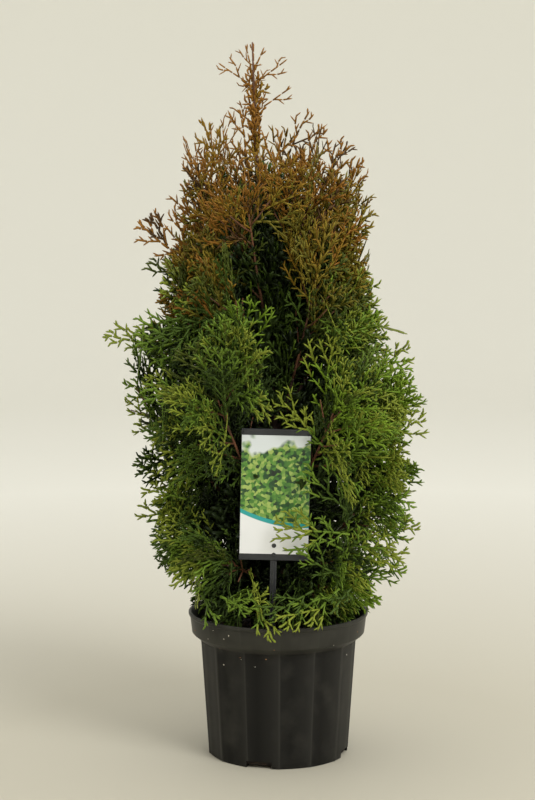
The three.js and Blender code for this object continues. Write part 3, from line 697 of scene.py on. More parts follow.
def stem_segments():
    """The foliage stems' lines as arrays: each segment's start, its run and its length squared."""
    lines = []
    for branch in BRANCHES:
        places = [lerp(branch.stem_from, 1, i / LINE_STEPS) for i in range(LINE_STEPS + 1)]
        lines.append([branch.curve.point(t) for t in places])
    lines = np.array(lines, float)
    runs = lines[:, 1:] - lines[:, :-1]
    return lines[:, :-1], runs, (runs ** 2).sum(axis=2)


STEM_STARTS, STEM_RUNS, STEM_SQUARES = stem_segments()


def in_own_space(point, index):
    offset = np.array(point) - STEM_STARTS
    share = np.clip((offset * STEM_RUNS).sum(axis=2) / STEM_SQUARES, 0, 1)
    away = offset - share[..., None] * STEM_RUNS
    distances = np.sqrt((away ** 2).sum(axis=2)).min(axis=1)
    return distances[index] < distances.min() + SPACE_OVERLAP


def ragged_share(point, radius):
    """How far the foliage reaches near a point, as a share of the crown's reach there."""
    around = Vector((point.x, point.y, 0)) * (crown_reach(0, RAGGED_HEIGHT) / max(radius, 1))
    bumps = noise.noise((around + Vector((0, 0, point.z))) / RAGGED_STEP)
    return 1 - RAGGEDNESS * min(1, max(0, 0.5 - RAGGED_CONTRAST * bumps))


def inside_crown(point):
    radius = math.hypot(point.x, point.y)
    reach = crown_reach(math.atan2(point.y, point.x), point.z)
    if radius > reach * ragged_share(point, radius) + STANDS_OUT:
        return False
    if point.z > LEADER_TIP.z or in_hollow(point) or in_label_space(point):
        return False
    if radius < POT_BODY_RADIUS:
        return point.z > SOIL_MIDDLE + SOIL_CLEARANCE
    return point.z > POT_HEIGHT + RIM_CLEARANCE + max(0, radius - RIM_RADIUS)


def keeps_to_space(points, index):
    return all(inside_crown(point) and in_own_space(point, index) for point in points)


def leaving(along, side, around, angle, droop):
    """A direction that leaves `along` at an angle, turned round it, and leans down by `droop`."""
    over = along.cross(side).normalized()
    aside = side * math.cos(around) + over * math.sin(around)
    direction = along * math.cos(angle) + aside * math.sin(angle)
    direction.z -= droop
    return direction.normalized()


def square_to(along, around):
    level = Vector((along.y, -along.x, 1e-3)).normalized()
    over = along.cross(level).normalized()
    level = over.cross(along)
    return level * math.cos(around) + over * math.sin(around)


def facing_out(along, spot, draw):
    """A direction across `along` that turns a flat spray's face outwards or, more often at the
    crown's left and right, stands it on edge like a fin, with a random twist."""
    outward = Vector((spot.x, spot.y, 1e-3)).normalized()
    level = along.cross(outward)
    upright = Vector((0, 0, 1)) - along * along.z
    if draw() >= lerp(*FIN_CHANCES, abs(outward.x)):
        return (level + upright * draw(-FACE_TWIST, FACE_TWIST)).normalized()
    fin = outward - along * along.dot(outward) if abs(along.z) > STEEP else upright
    return (fin + level * draw(-FIN_TWIST, FIN_TWIST)).normalized()


# Sprays

def onward(start, heading, distance):
    return start[0] + distance * math.cos(heading), start[1] + distance * math.sin(heading)


def spray_axis(length, draw):
    """A spray's middle twig: points along the spray and across it, each with its heading."""
    count = max(3, round(length / AXIS_JOINT))
    heading = 0.0
    axis = [(0.0, 0.0, heading)]
    for _ in range(count):
        heading += draw(-AXIS_BEND, AXIS_BEND)
        axis.append((*onward(axis[-1], heading, length / count), heading))
    return axis


def swell(share):
    """How long the branchlets are at a share of a spray's length, against the longest."""
    if share < WIDEST_AT:
        return (share / WIDEST_AT) ** SWELL_POWERS[0]
    return ((1 - share) / (1 - WIDEST_AT)) ** SWELL_POWERS[1]


def blade(start, end, wide, widths):
    return *start[:2], *end[:2], wide * widths[0], wide * widths[1]


def spray_plan(length, openness, width, draw):
    """The blades of one flat spray: start and end, along it and across it, and the two widths."""
    axis = spray_axis(length, draw)
    count = len(axis) - 1
    blades = []
    for i, (near, far) in enumerate(zip(axis, axis[1:])):
        wide = lerp(width * AXIS_WIDTHS[0], width * AXIS_WIDTHS[1], i / count)
        blades.append(blade(near, far, wide, AXIS_TAPER))
    way = 1 if draw() < 0.5 else -1
    place = length * draw(*BRANCHLETS_FROM)
    while place < BRANCHLETS_TO * length:
        share = place / length
        usual = BRANCHLET_REACH * length * swell(share)
        reach = max(SHORTEST_BRANCHLET, usual * draw(*BRANCHLET_REACHES))
        joint = min(int(share * count), count - 1)
        part = share * count - joint
        near, far = axis[joint], axis[joint + 1]
        start = (lerp(near[0], far[0], part), lerp(near[1], far[1], part))
        aside = lerp(*BRANCHLET_ANGLES, share) + draw(-BRANCHLET_WANDER, BRANCHLET_WANDER)
        angle = far[2] + way * math.radians(aside)
        wide = width * draw(*BRANCHLET_WIDTHS)
        later = angle - way * math.radians(draw(*BRANCHLET_CURL))
        blades += branchlet(start, (angle, later), reach, wide, LEAF_STEP * openness, draw)
        way = -way
        place += BRANCHLET_STEP * openness * draw(*BRANCHLET_STEPS)
    return blades


def branchlet(start, headings, reach, wide, leaf_step, draw):
    """The blades of a side branchlet that bends forward halfway, with leaf-like shorter ones on both
    its sides. Its two halves have a heading each."""
    halfway = onward(start, headings[0], reach / 2)
    end = onward(halfway, headings[1], reach / 2)
    if reach < LEAFLESS_BRANCHLET:
        return [blade(start, end, wide, SINGLE_WIDTHS)]
    blades = [blade(start, halfway, wide, NEAR_WIDTHS), blade(halfway, end, wide, FAR_WIDTHS)]
    place = reach * LEAVES_FROM
    aside = 1 if draw() < 0.5 else -1
    while place < reach * LEAVES_TO:
        far = place / reach >= 0.5
        heading = headings[1] if far else headings[0]
        foot = onward(halfway, heading, place - reach / 2) if far else onward(start, heading, place)
        size = min(LONGEST_LEAF, SHORTEST_LEAF + LEAF_GROWTH * (reach - place)) * draw(*LEAF_SIZES)
        out = heading + aside * (LEAF_ANGLE + draw(-LEAF_WANDER, LEAF_WANDER))
        blades.append(blade(foot, onward(foot, out, size), wide, LEAF_WIDTHS))
        aside = -aside
        place += leaf_step * draw(*BRANCHLET_STEPS)
    return blades


@dataclass
class Spray:
    """Where a flat spray lies, how far it bends up by its tip, and how it looks. A coarse one has fewer
    and larger parts."""
    base: Vector
    along: Vector
    across: Vector
    length: float
    tint: str
    lift: float = 0
    openness: float = 1.0
    width: float = BRANCHLET_WIDTH
    coarseness: float = 1.0


class Foliage:
    """Collects the blades of all sprays by tier and tint, and the twigs by tier."""

    def __init__(self):
        self.blades = defaultdict(list)
        self.twigs = defaultdict(list)

    def add_spray(self, tier, spray, draw):
        """Lays a flat spray in space, arched along it and cupped across."""
        length = spray.length
        flat = spray.along.cross(spray.across).normalized()
        plan = spray_plan(length / spray.coarseness, spray.openness, spray.width, draw)
        plan = np.array(plan) * spray.coarseness
        cup = draw(*SPRAY_CUP)
        rise = spray.lift + draw(-LIFT_WANDER, LIFT_WANDER)

        def laid(u, v):
            level = np.array(spray.base) + np.outer(u, spray.along) + np.outer(v, spray.across)
            arch = np.outer(u ** 2 / length, Vector((0, 0, rise)))
            return level + arch + np.outer(v ** 2 / length, flat * cup)

        starts = laid(plan[:, 0], plan[:, 1])
        ends = laid(plan[:, 2], plan[:, 3])
        rows = np.hstack([starts, ends, plan[:, 4:6], np.tile(np.array(flat), (len(plan), 1))])
        outer = plan[:, 2] > TIP_SHARE * length
        self.blades[tier["name"], spray.tint].append(rows[~outer])
        tip_tint = TIP_TINTS[spray.tint] if draw() < BRIGHT_TIPS else spray.tint
        self.blades[tier["name"], tip_tint].append(rows[outer])

    def add_twig(self, tier, points, radii):
        self.twigs[tier["name"]].append((points, radii))


def in_patch(tip, patch):
    return tip.x < patch["left_of"] and patch["from"] < tip.z < patch["to"]


def tint_for(tip, draw):
    """A spray's tint, from its tip's height, its depth in the crown and its side: painted shade within,
    painted light to the right.
    """
    depth = math.hypot(tip.x, tip.y) / crown_reach(math.atan2(tip.y, tip.x), tip.z)
    chances = {tint: np.interp(tip.z, *stops) for tint, stops in RISING_CHANCES.items()}
    # painted shade: sprays this far inside the crown get its darkest tints
    if depth < np.interp(tip.z, *SHADE_DEPTHS):
        return "painted_shade" if draw() < DARKEST_SHADE_CHANCE else "dark"
    in_heart = tip.z > BROWN_HEART["above"] and depth < BROWN_HEART["depth"]
    if in_heart and draw() < BROWN_HEART["chance"]:
        return "brown"
    if draw() < chances["bronze"]:
        return BRONZES[int(draw() * len(BRONZES))]
    if in_patch(tip, BROWN_EDGE) and draw() < BROWN_EDGE["chance"]:
        return "brown" if draw() < BROWN_EDGE["brown"] else "bronze"
    if draw() < chances["olive"]:
        return "golden" if draw() < GOLDEN_CHANCE else "olive"
    if draw() < chances["moss"]:
        return "moss"
    # painted light and shade: paler tints on the crown's right side, darker ones on its left
    sunny = float(np.interp(tip.x, SUNNY, [0, 1]))
    if depth < OUTER_DEPTH:
        if draw() < lerp(*INNER_DARK, sunny):
            return "dark"
        return "fresh" if draw() < lerp(*INNER_FRESH, sunny) else "green"
    yellow = YELLOW_EDGE["chance"] if in_patch(tip, YELLOW_EDGE) else YELLOW_CHANCE
    if draw() < yellow + SUNNY_YELLOW * sunny:
        return "yellow"
    if draw() < lerp(*OUTER_BRIGHT, sunny):
        return "bright"
    if draw() < lerp(*OUTER_FRESH, sunny):
        return "fresh"
    return "green" if draw() < lerp(*OUTER_GREEN, sunny) else "dark"


def fineness(z):
    """How open a spray is, and how wide its branchlets are, at a height."""
    return {
        "openness": float(np.interp(z, HIGH, [1, HIGH_OPENNESS])),
        "width": float(np.interp(z, HIGH, [BRANCHLET_WIDTH, HIGH_WIDTH])),
    }


def spray_points(base, along, across, length, lift):
    """Points over a spray that are tested against its space."""
    tip = base + along * length + Vector((0, 0, lift * length))
    middle = base + along * (SPRAY_MIDDLE * length) + Vector((0, 0, lift * SPRAY_MIDDLE_LIFT * length))
    side = across * (SPRAY_SIDE * length)
    return [tip, middle, middle + side, middle - side]


def fitted_length(branch, base, along, across, length):
    lift = branch.tier["lift"]
    for share in SHORTER:
        points = spray_points(base, along, across, length * share, lift)
        if keeps_to_space(points, branch.index):
            return length * share
    return 0


def grow_spray(foliage, branch, draw, length, make, *place):
    """The longest of a few tries at a spray, where `make` gives its base and its direction."""
    best = (0, None, None, None)
    for _ in range(SPRAY_TRIES):
        base, along = make(*place)
        across = facing_out(along, base, draw)
        fits = fitted_length(branch, base, along, across, length)
        if fits > best[0]:
            best = (fits, base, along, across)
        if fits == length:
            break
    fits, base, along, across = best
    if not fits:
        return
    tip = base + along * fits
    spray = Spray(base, along, across, fits, tint_for(tip, draw), branch.tier["lift"], **fineness(tip.z))
    foliage.add_spray(branch.tier, spray, draw)


def grow_shoot(foliage, branch, share, turn, draw):
    """A side shoot with sprays on alternate sides of it and one at its end."""
    tier = branch.tier
    start = branch.at(share)
    full = SHOOT_SHARE * branch.stem_length * lerp(*SHOOT_SHARES, share) * draw(*SHOOT_LENGTHS)
    along = leaving(branch.along(share), branch.side, turn, SHOOT_ANGLE, tier["droop"])
    rise = Vector((0, 0, SHOOT_LIFT * tier["lift"] + SHOOT_RISE))

    def on_shoot(size, s):
        return start + along * size * s + rise * size * s * s

    fitting = [part * full for part in SHORTER
               if keeps_to_space([on_shoot(part * full, s) for s in (0.5, 1)], branch.index)]
    if not fitting or fitting[0] < SHORTEST_SHOOT:
        return
    reach = fitting[0]
    steps = max(3, round(reach / SHOOT_JOINT))
    points = [on_shoot(reach, i / steps) for i in range(steps + 1)]
    foliage.add_twig(tier, points, SHOOT_RADII)
    plane = facing_out(along, points[-1], draw)

    def sideways(s, way):
        heading = (along + rise * 2 * s).normalized()
        lean = way * (SPRAY_ANGLE + draw(-SHOOT_SPRAY_WANDER, SHOOT_SPRAY_WANDER))
        twist = Vector([draw(-SHOOT_SPRAY_TWIST, SHOOT_SPRAY_TWIST) for _ in range(3)])
        leaning = heading * math.cos(lean) + (plane + twist) * math.sin(lean)
        return on_shoot(reach, s), leaning.normalized()

    def at_end():
        wander = Vector((draw(-END_WANDER, END_WANDER), draw(-END_WANDER, END_WANDER), 0))
        return points[-1], (along + rise * 2 + wander).normalized()

    way = 1
    place = SHOOT_SPRAYS_FROM * reach * draw(*SHOOT_SPRAY_STARTS)
    while place < reach * SHOOT_SPRAYS_TO:
        length = tier["spray"] * draw(*SHOOT_SPRAYS)
        grow_spray(foliage, branch, draw, length, sideways, place / reach, way)
        way = -way
        place += SHOOT_SPRAY_STEP * draw(*SHOOT_SPRAY_STEPS)
    grow_spray(foliage, branch, draw, tier["spray"] * draw(*END_SPRAYS), at_end)


def grow_mass(foliage, branch):
    """The stem, shoots and sprays of one mass of foliage."""
    tier = branch.tier
    draw = seeded(SEED + branch.index)
    first_turn = draw() * 2 * math.pi
    foliage.add_twig(tier, [branch.at(i / STEM_JOINTS) for i in range(STEM_JOINTS + 1)], STEM_RADII)
    for i in range(SHOOT_COUNT):
        share = lerp(SHOOTS_FROM, SHOOTS_TO, (i + draw(*SHOOT_PLACES)) / SHOOT_COUNT)
        grow_shoot(foliage, branch, share, first_turn + i * GOLDEN_ANGLE, draw)

    def on_stem(share, i):
        wander = draw(-STEM_SPRAY_WANDER, STEM_SPRAY_WANDER)
        turn = first_turn + STEM_SPRAY_TURN + i * GOLDEN_ANGLE + wander
        along = leaving(branch.along(share), branch.side, turn, SPRAY_ANGLE, tier["droop"])
        return branch.at(share), along

    def at_tip(lean):
        aside = square_to(branch.along(1), draw(0, math.pi))
        return branch.at(1), branch.along(1) * math.cos(lean) + aside * math.sin(lean)

    count = round(branch.stem_length / STEM_SPRAY_STEP)
    for i in range(count):
        length = tier["spray"] * draw(*STEM_SPRAYS)
        grow_spray(foliage, branch, draw, length, on_stem, (i + 0.5) / count, i)
    for lean in TIP_LEANS:
        grow_spray(foliage, branch, draw, tier["spray"] * (1 - abs(lean) * TIP_SHORTER), at_tip, lean)


def grow_leader(foliage, branch):
    """The leading shoot: a dense narrow plume with a few sparse sprays at its tip."""
    draw = seeded(SEED + branch.index)
    curve = branch.curve
    foliage.add_twig(LEADER, [curve.point(i / STEM_JOINTS) for i in range(STEM_JOINTS + 1)], STEM_RADII)

    def stem_at(z):
        return curve.point((z - curve.root.z) / (LEADER_TIP.z - curve.root.z))

    z = PLUME[0]
    turn = 0
    while z < PLUME[1]:
        turn += GOLDEN_ANGLE
        along = (polar(draw(*PLUME_LEAN), turn, 1)).normalized()
        length = PLUME_SPRAY * draw(*PLUME_LENGTHS)
        tint = "copper" if draw() < PLUME_COPPER else "bronze"
        across = facing_out(along, polar(1, turn, 0), draw)
        foliage.add_spray(LEADER, Spray(stem_at(z), along, across, length, tint), draw)
        z += PLUME_STEP
    for height, tip in ANTLERS:
        lone = lone_spray(stem_at(height), tip, "copper", draw,
                          openness=ANTLER_OPENNESS, width=ANTLER_WIDTH)
        foliage.add_spray(LEADER, lone, draw)


def lone_spray(foot, tip, tint, draw, **look):
    """A spray from its foot to its tip, with its face to the front."""
    run = Vector(tip) - foot
    along = run.normalized()
    twist = along.cross(Vector((0, 0, 1))) * draw(-LONE_TWIST, LONE_TWIST)
    across = (along.cross(Vector((0, 1, 0))) + twist).normalized()
    return Spray(foot, along, across, run.length, tint, **look)


def grow_lone_sprays(foliage):
    draw = seeded(LONE_SEED)
    for foot, tip, tint in LONE_SPRAYS:
        foliage.add_spray(TIERS[0], lone_spray(Vector(foot), tip, tint, draw, **fineness(foot[2])), draw)


def grow_inside(foliage):
    """Coarse sprays round the trunk in a near-black tint of painted shade, which close the crown's middle.
    """
    draw = seeded(INNER_SEED)
    z = TRUNK_WAYPOINTS[1][0]
    turn = 0
    while z < INNER_TOP:
        wide = z < INNER_WIDE_TOP
        turn += GOLDEN_ANGLE
        along = polar(1, turn, draw(*INNER_RISE)).normalized()
        reach = INNER_REACH * crown_reach(turn, z) / along.to_2d().length
        length = min(reach, INNER_LENGTH) * draw(*INNER_LENGTHS)
        base = trunk_point(z)
        if wide:
            base += polar(draw(0, INNER_SPREAD), turn, 0)
            length *= INNER_WIDE_LENGTH
        tip = base + along * length
        if not clearing_at(tip) and tip.z < INNER_TOP + INNER_OVER_TOP:
            across = facing_out(along, tip, draw)
            spray = Spray(base, along, across, length, "painted_shade", coarseness=INNER_COARSENESS)
            foliage.add_spray(INNER, spray, draw)
        z += INNER_STEP * (INNER_WIDE_STEP if wide else 1)
    grow_hollow(foliage, draw)


def grow_hollow(foliage, draw):
    """Upright sprays just before the trunk, which show in the dark hollow, most in the dark tint as painted
    shade.
    """
    for z in HOLLOW_HEIGHTS:
        base = trunk_point(z) + Vector([draw(*room) for room in HOLLOW_ROOM] + [0])
        along = Vector([draw(*lean) for lean in HOLLOW_LEANS] + [1]).normalized()
        across = facing_out(along, Vector((0, -1, 0)), draw)
        length = HOLLOW_LENGTH * draw(*HOLLOW_LENGTHS)
        paler = "moss" if z > HOLLOW_PALER else "green"
        tint = "dark" if draw() < HOLLOW_SHADE_SHARE else paler
        foliage.add_spray(INNER, Spray(base, along, across, length, tint), draw)


# Meshes

def placed(obj):
    bpy.context.scene.collection.objects.link(obj)
    return obj


def mesh_object(name, vertices, face_groups):
    """A joined mesh in metres from arrays: vertices in millimetres, and faces grouped by size."""
    mesh = bpy.data.meshes.new(name)
    mesh.vertices.add(len(vertices))
    mesh.vertices.foreach_set("co", (vertices * MM).astype(np.float32).ravel())
    corners = np.concatenate([faces.ravel() for faces in face_groups])
    sizes = np.concatenate([np.full(len(faces), faces.shape[1]) for faces in face_groups])
    mesh.loops.add(len(corners))
    mesh.loops.foreach_set("vertex_index", corners.astype(np.int32))
    mesh.polygons.add(len(sizes))
    starts = np.concatenate([[0], np.cumsum(sizes)[:-1]])
    mesh.polygons.foreach_set("loop_start", starts.astype(np.int32))
    mesh.update(calc_edges=True)
    return placed(bpy.data.objects.new(name, mesh))


# A blade's corners: for each, its share of the length, of the half-width to a side and of the height
BLADE_RINGS = np.array([
    [0, -1, -0.4], [0, 1, -0.4], [0, 0, 0.6],
    [0.72, -1, -0.4], [0.72, 1, -0.4], [0.72, 0, 0.6],
    [1, 0, 0],
])
BLADE_QUADS = np.array([[0, 1, 4, 3], [1, 2, 5, 4], [2, 0, 3, 5]])
BLADE_TRIANGLES = np.array([[2, 1, 0], [3, 4, 6], [4, 5, 6], [5, 3, 6]])


def blade_mesh(name, rows):
    """Many slim closed blades, each from a row: start, end, two widths and the spray's normal."""
    starts, ends, widths, flats = rows[:, 0:3], rows[:, 3:6], rows[:, 6:8], rows[:, 8:11]
    runs = ends - starts
    across = np.cross(flats, runs)
    across /= np.linalg.norm(across, axis=1, keepdims=True)
    up = np.cross(runs, across)
    up /= np.linalg.norm(up, axis=1, keepdims=True)
    wide = np.where(BLADE_RINGS[None, :, 0] < 0.5, widths[:, :1], widths[:, 1:]) / 2
    corners = (starts[:, None] + runs[:, None] * BLADE_RINGS[None, :, :1]
               + across[:, None] * (BLADE_RINGS[None, :, 1] * wide)[..., None]
               + up[:, None] * (BLADE_RINGS[None, :, 2] * wide * 2 * LEAF_THICKNESS)[..., None])
    first = np.arange(len(rows))[:, None, None] * len(BLADE_RINGS)
    quads = (BLADE_QUADS[None] + first).reshape(-1, 4)
    triangles = (BLADE_TRIANGLES[None] + first).reshape(-1, 3)
    return mesh_object(name, corners.reshape(-1, 3), [quads, triangles])


def axes_at(points, i):
    """Two directions across a limb and the one along it, at one of its points."""
    along = (points[min(i + 1, len(points) - 1)] - points[max(i - 1, 0)]).normalized()
    over = square_to(along, 0)
    return over, along.cross(over), along


def twig_mesh(name, twigs):
    """Many closed tapering twigs, each a run of rings with a point at its foot and at its tip."""
    vertices, quads, triangles = [], [], []
    turns = [2 * math.pi * k / TWIG_SIDES for k in range(TWIG_SIDES)]
    pairs = [(k, (k + 1) % TWIG_SIDES) for k in range(TWIG_SIDES)]
    for points, radii in twigs:
        last = len(points) - 1
        first_ring = len(vertices)
        last_ring = first_ring + last * TWIG_SIDES
        for i, point in enumerate(points):
            over, aside, _ = axes_at(points, i)
            radius = lerp(*radii, i / last)
            vertices += [point + (over * math.cos(a) + aside * math.sin(a)) * radius for a in turns]
        for ring in range(first_ring, last_ring, TWIG_SIDES):
            above = ring + TWIG_SIDES
            quads += [(ring + k, ring + after, above + after, above + k) for k, after in pairs]
        foot, tip = len(vertices), len(vertices) + 1
        vertices += [points[0], points[-1] + (points[-1] - points[-2]).normalized() * radii[1]]
        triangles += [(first_ring + after, first_ring + k, foot) for k, after in pairs]
        triangles += [(last_ring + k, last_ring + after, tip) for k, after in pairs]
    return mesh_object(name, np.array(vertices, float), [np.array(quads), np.array(triangles)])


def ring_frame(points, i, radius):
    """The matrix that lays a unit ring round a limb's point, square to the limb."""
    turned = Matrix([axis * radius for axis in axes_at(points, i)]).transposed().to_4x4()
    return Matrix.Translation(points[i]) @ turned


def bark_limb(bm, points, radii, sides):
    """A limb with fibrous bark, made by drawing a ring out along its points."""
    frames = [ring_frame(points, i, radius) for i, radius in enumerate(radii)]
    ring = bmesh.ops.create_circle(bm, segments=sides, radius=1)["verts"]
    edges = list({edge for vert in ring for edge in vert.link_edges})
    bmesh.ops.transform(bm, matrix=frames[0], verts=ring)
    bmesh.ops.contextual_create(bm, geom=edges)
    rings = [ring]
    for before, after in zip(frames, frames[1:]):
        drawn = bmesh.ops.extrude_edge_only(bm, edges=edges)["geom"]
        ring = [part for part in drawn if isinstance(part, bmesh.types.BMVert)]
        edges = [part for part in drawn if isinstance(part, bmesh.types.BMEdge)]
        bmesh.ops.transform(bm, matrix=after @ before.inverted(), verts=ring)
        rings.append(ring)
    bmesh.ops.contextual_create(bm, geom=edges)
    for ring, centre in zip(rings, points):
        for vert in ring:
            fibre = noise.fractal(vert.co * BARK_GRAIN, 1.0, 2.0, 3)
            vert.co += (vert.co - centre) * BARK_RELIEF * fibre


def object_from(name, bm):
    mesh = bpy.data.meshes.new(name)
    bm.to_mesh(mesh)
    bm.free()
    return placed(bpy.data.objects.new(name, mesh))


def shade(obj, smooth):
    obj.data.polygons.foreach_set("use_smooth", [smooth] * len(obj.data.polygons))
    return obj


def finished(name, bm, smooth=False):
    """A mesh object in metres from a bmesh in millimetres, with its faces pointing outwards."""
    bmesh.ops.recalc_face_normals(bm, faces=bm.faces)
    bmesh.ops.scale(bm, vec=(MM, MM, MM), verts=bm.verts)
    return shade(object_from(name, bm), smooth)


def lathe(bm, profile, sides):
    """Spins a profile of radii and heights into a closed shape."""
    verts = [bm.verts.new((radius, 0, z)) for radius, z in profile]
    edges = [bm.edges.new(pair) for pair in zip(verts, verts[1:])]
    bmesh.ops.spin(bm, geom=verts + edges, axis=(0, 0, 1), cent=(0, 0, 0), steps=sides,
                   angle=2 * math.pi, use_merge=True)
    bmesh.ops.remove_doubles(bm, verts=bm.verts, dist=0.01)


def with_modifiers_applied(obj):
    depsgraph = bpy.context.evaluated_depsgraph_get()
    mesh = bpy.data.meshes.new_from_object(obj.evaluated_get(depsgraph))
    obj.modifiers.clear()
    obj.data = mesh
    return obj


# Materials

def feed(tree, socket, value):
    """Gives a socket a number, a colour or another node's output."""
    if isinstance(value, bpy.types.NodeSocket):
        tree.links.new(value, socket)
    elif socket.type == "RGBA":
        socket.default_value = (*value, 1)
    else:
        socket.default_value = value


def set_up(tree, node, values):
    """Feeds a node's sockets, named with _ for a space, and sets its other properties."""
    for name, value in values.items():
        socket = node.inputs.get(name.replace("_", " "))
        if socket:
            feed(tree, socket, value)
        else:
            setattr(node, name, value)
    return node


def add_node(tree, kind, **values):
    return set_up(tree, tree.nodes.new(f"ShaderNode{kind}"), values)


def new_material(name, **inputs):
    """A material with a principled shader, and its tree and shader."""
    material = bpy.data.materials.new(name)
    material.use_nodes = True
    tree = material.node_tree
    return material, tree, set_up(tree, tree.nodes["Principled BSDF"], inputs)


def object_place(tree):
    return add_node(tree, "TexCoord").outputs["Object"]


def noise_at(tree, scale, detail=3.0, stretch=(1, 1, 1)):
    """A noise over Object coordinates, with features about 1/scale metres across."""
    place = add_node(tree, "Mapping", Vector=object_place(tree), Scale=stretch).outputs["Vector"]
    return add_node(tree, "TexNoise", Vector=place, Scale=scale, Detail=detail).outputs["Fac"]


def blend_colours(tree, factor, stops):
    """A colour ramp over a factor, from a list of places and colours."""
    ramp = add_node(tree, "ValToRGB", Fac=factor)
    elements = ramp.color_ramp.elements
    while len(elements) < len(stops):
        elements.new(1)
    for element, (place, colour) in zip(elements, stops):
        element.position = place
        element.color = (*colour, 1)
    return ramp.outputs["Color"]


def relief(tree, height, distance, strength):
    """A normal that rises and falls with a height. `distance` is in metres."""
    return add_node(tree, "Bump", Height=height, Distance=distance, Strength=strength).outputs["Normal"]


def mixed(tree, factor, under, over):
    """Colour `over` laid on `under` by a factor. Either is a colour or another node's output."""
    mix = add_node(tree, "Mix", data_type="RGBA", Factor=factor)
    feed(tree, mix.inputs[6], under)  # colours go in at the node's places 6 and 7, and out at 2
    feed(tree, mix.inputs[7], over)
    return mix.outputs[2]


def calculated(tree, operation, *values):
    """The result of one operation on values, each a number or another node's output."""
    made = add_node(tree, "Math", operation=operation)
    for socket, value in zip(made.inputs, values):
        feed(tree, socket, value)
    return made.outputs[0]


def ranged(tree, value, source=(0, 1), target=(0, 1)):
    """A value mapped from one range to another, and held inside it."""
    return add_node(tree, "MapRange", Value=value, From_Min=source[0], From_Max=source[1],
                    To_Min=target[0], To_Max=target[1]).outputs["Result"]


def stepped(tree, value, edge, softness):
    """0 below an edge and 1 above it, and something between within `softness` of it."""
    return ranged(tree, value, (edge - softness, edge + softness))


def two_toned(dark, light):
    return list(zip(TONE_PLACES, (dark, light)))


def patterned_material(name, stops, pattern, bump, grain=None, **inputs):
    """A material that one noise colours. A second one, or else the same, raises its grain."""
    material, tree, shader = new_material(name, **inputs)
    patches = noise_at(tree, **pattern)
    raised = noise_at(tree, **grain) if grain else patches
    feed(tree, shader.inputs["Base Color"], blend_colours(tree, patches, stops))
    feed(tree, shader.inputs["Normal"], relief(tree, raised, *bump))
    return material


def pot_material():
    """Satin black dusty plastic, with painted highlights at its creases, partly stress-whitening, and
    painted reflection across its panels.
    """
    material, tree, shader = new_material("black_pot_plastic", Specular_IOR_Level=POT_SHEEN)
    place = object_place(tree)
    turned = add_node(tree, "Mapping", Vector=place, Rotation=(0, 0, math.pi - FIRST_RIDGE))
    around = add_node(tree, "TexGradient", gradient_type="RADIAL", Vector=turned.outputs["Vector"])
    panel = calculated(tree, "FRACT", calculated(tree, "MULTIPLY", around.outputs["Fac"], PANELS))
    # painted highlight at the creases, partly stress-whitening, and painted reflection across each panel
    plastic = blend_colours(tree, panel, POT_CREASES_AND_PAINTED_LIGHT)
    dust = noise_at(tree, **POT_DUST)
    dusty = mixed(tree, stepped(tree, dust, *POT_DUST_EDGE), plastic, POT_DUST_COLOUR)
    height = add_node(tree, "SeparateXYZ", Vector=place).outputs["Z"]
    on_band = stepped(tree, height, BODY_TOP * MM, MM)
    rubbed = mixed(tree, calculated(tree, "MULTIPLY", on_band, dust), dusty, BAND_DUST_COLOUR)
    flow = noise_at(tree, **POT_FLOW)
    feed(tree, shader.inputs["Base Color"], rubbed)
    feed(tree, shader.inputs["Roughness"], ranged(tree, dust, target=POT_ROUGHNESS))
    feed(tree, shader.inputs["Normal"], relief(tree, flow, *POT_RELIEF))
    return material


def card_material():
    """A generic leafy print under a pale sky, over a teal band and a plain white field."""
    material, tree, shader = new_material("printed_card", Roughness=CARD_ROUGHNESS)
    place = object_place(tree)
    on_card = add_node(
        tree, "Mapping", vector_type="TEXTURE", Vector=place, Rotation=(0, LABEL_LEAN, 0),
        Location=Vector((LABEL_X, LABEL_FRONT, LABEL_FOOT)) * MM,
        Scale=Vector((LABEL_WIDTH, LABEL_WIDTH, LABEL_HEIGHT)) * MM,
    )
    parts = add_node(tree, "SeparateXYZ", Vector=on_card.outputs["Vector"])
    across, height = parts.outputs["X"], parts.outputs["Z"]

    leaves = add_node(tree, "TexVoronoi", Scale=PRINT_LEAVES, Vector=place)
    leaf = add_node(tree, "SeparateColor", Color=leaves.outputs["Color"])
    trees = noise_at(tree, **PRINT_TREES)
    tone = calculated(tree, "MULTIPLY", calculated(tree, "ADD", leaf.outputs[0], trees), PRINT_CONTRAST)
    treetops = calculated(tree, "ADD", height, calculated(tree, "MULTIPLY", trees, PRINT_TREETOPS))
    in_sky = stepped(tree, treetops, PRINT_SKYLINE, PRINT_SKY_SOFTNESS)
    picture = mixed(tree, in_sky, blend_colours(tree, tone, PRINT_GREENS), PRINT_SKY)

    slope = calculated(tree, "MULTIPLY", across, PRINT_SLOPE)
    bend = calculated(tree, "MULTIPLY", calculated(tree, "MULTIPLY", across, across), PRINT_BEND)
    level = calculated(tree, "ADD", height, calculated(tree, "SUBTRACT", slope, bend))
    over_foot, over_top = (stepped(tree, level, edge, PRINT_BAND_SOFTNESS) for edge in PRINT_BAND)
    whole = mixed(tree, over_foot, PRINT_WHITE, mixed(tree, over_top, PRINT_TEAL, picture))
    ripple = noise_at(tree, **CARD_RIPPLE)
    feed(tree, shader.inputs["Base Color"], whole)
    feed(tree, shader.inputs["Normal"], relief(tree, ripple, *CARD_RELIEF))
    return material


def dress(obj, material, slot, *nodes):
    """Gives a finished piece its material and its body, and hides the nodes that it stands for. The slot is
    not used.
    """
    obj.data.materials.clear()
    obj.data.materials.append(material)
    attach(obj, "root")
    if nodes:
        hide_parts(*nodes)
    return obj


# The plant

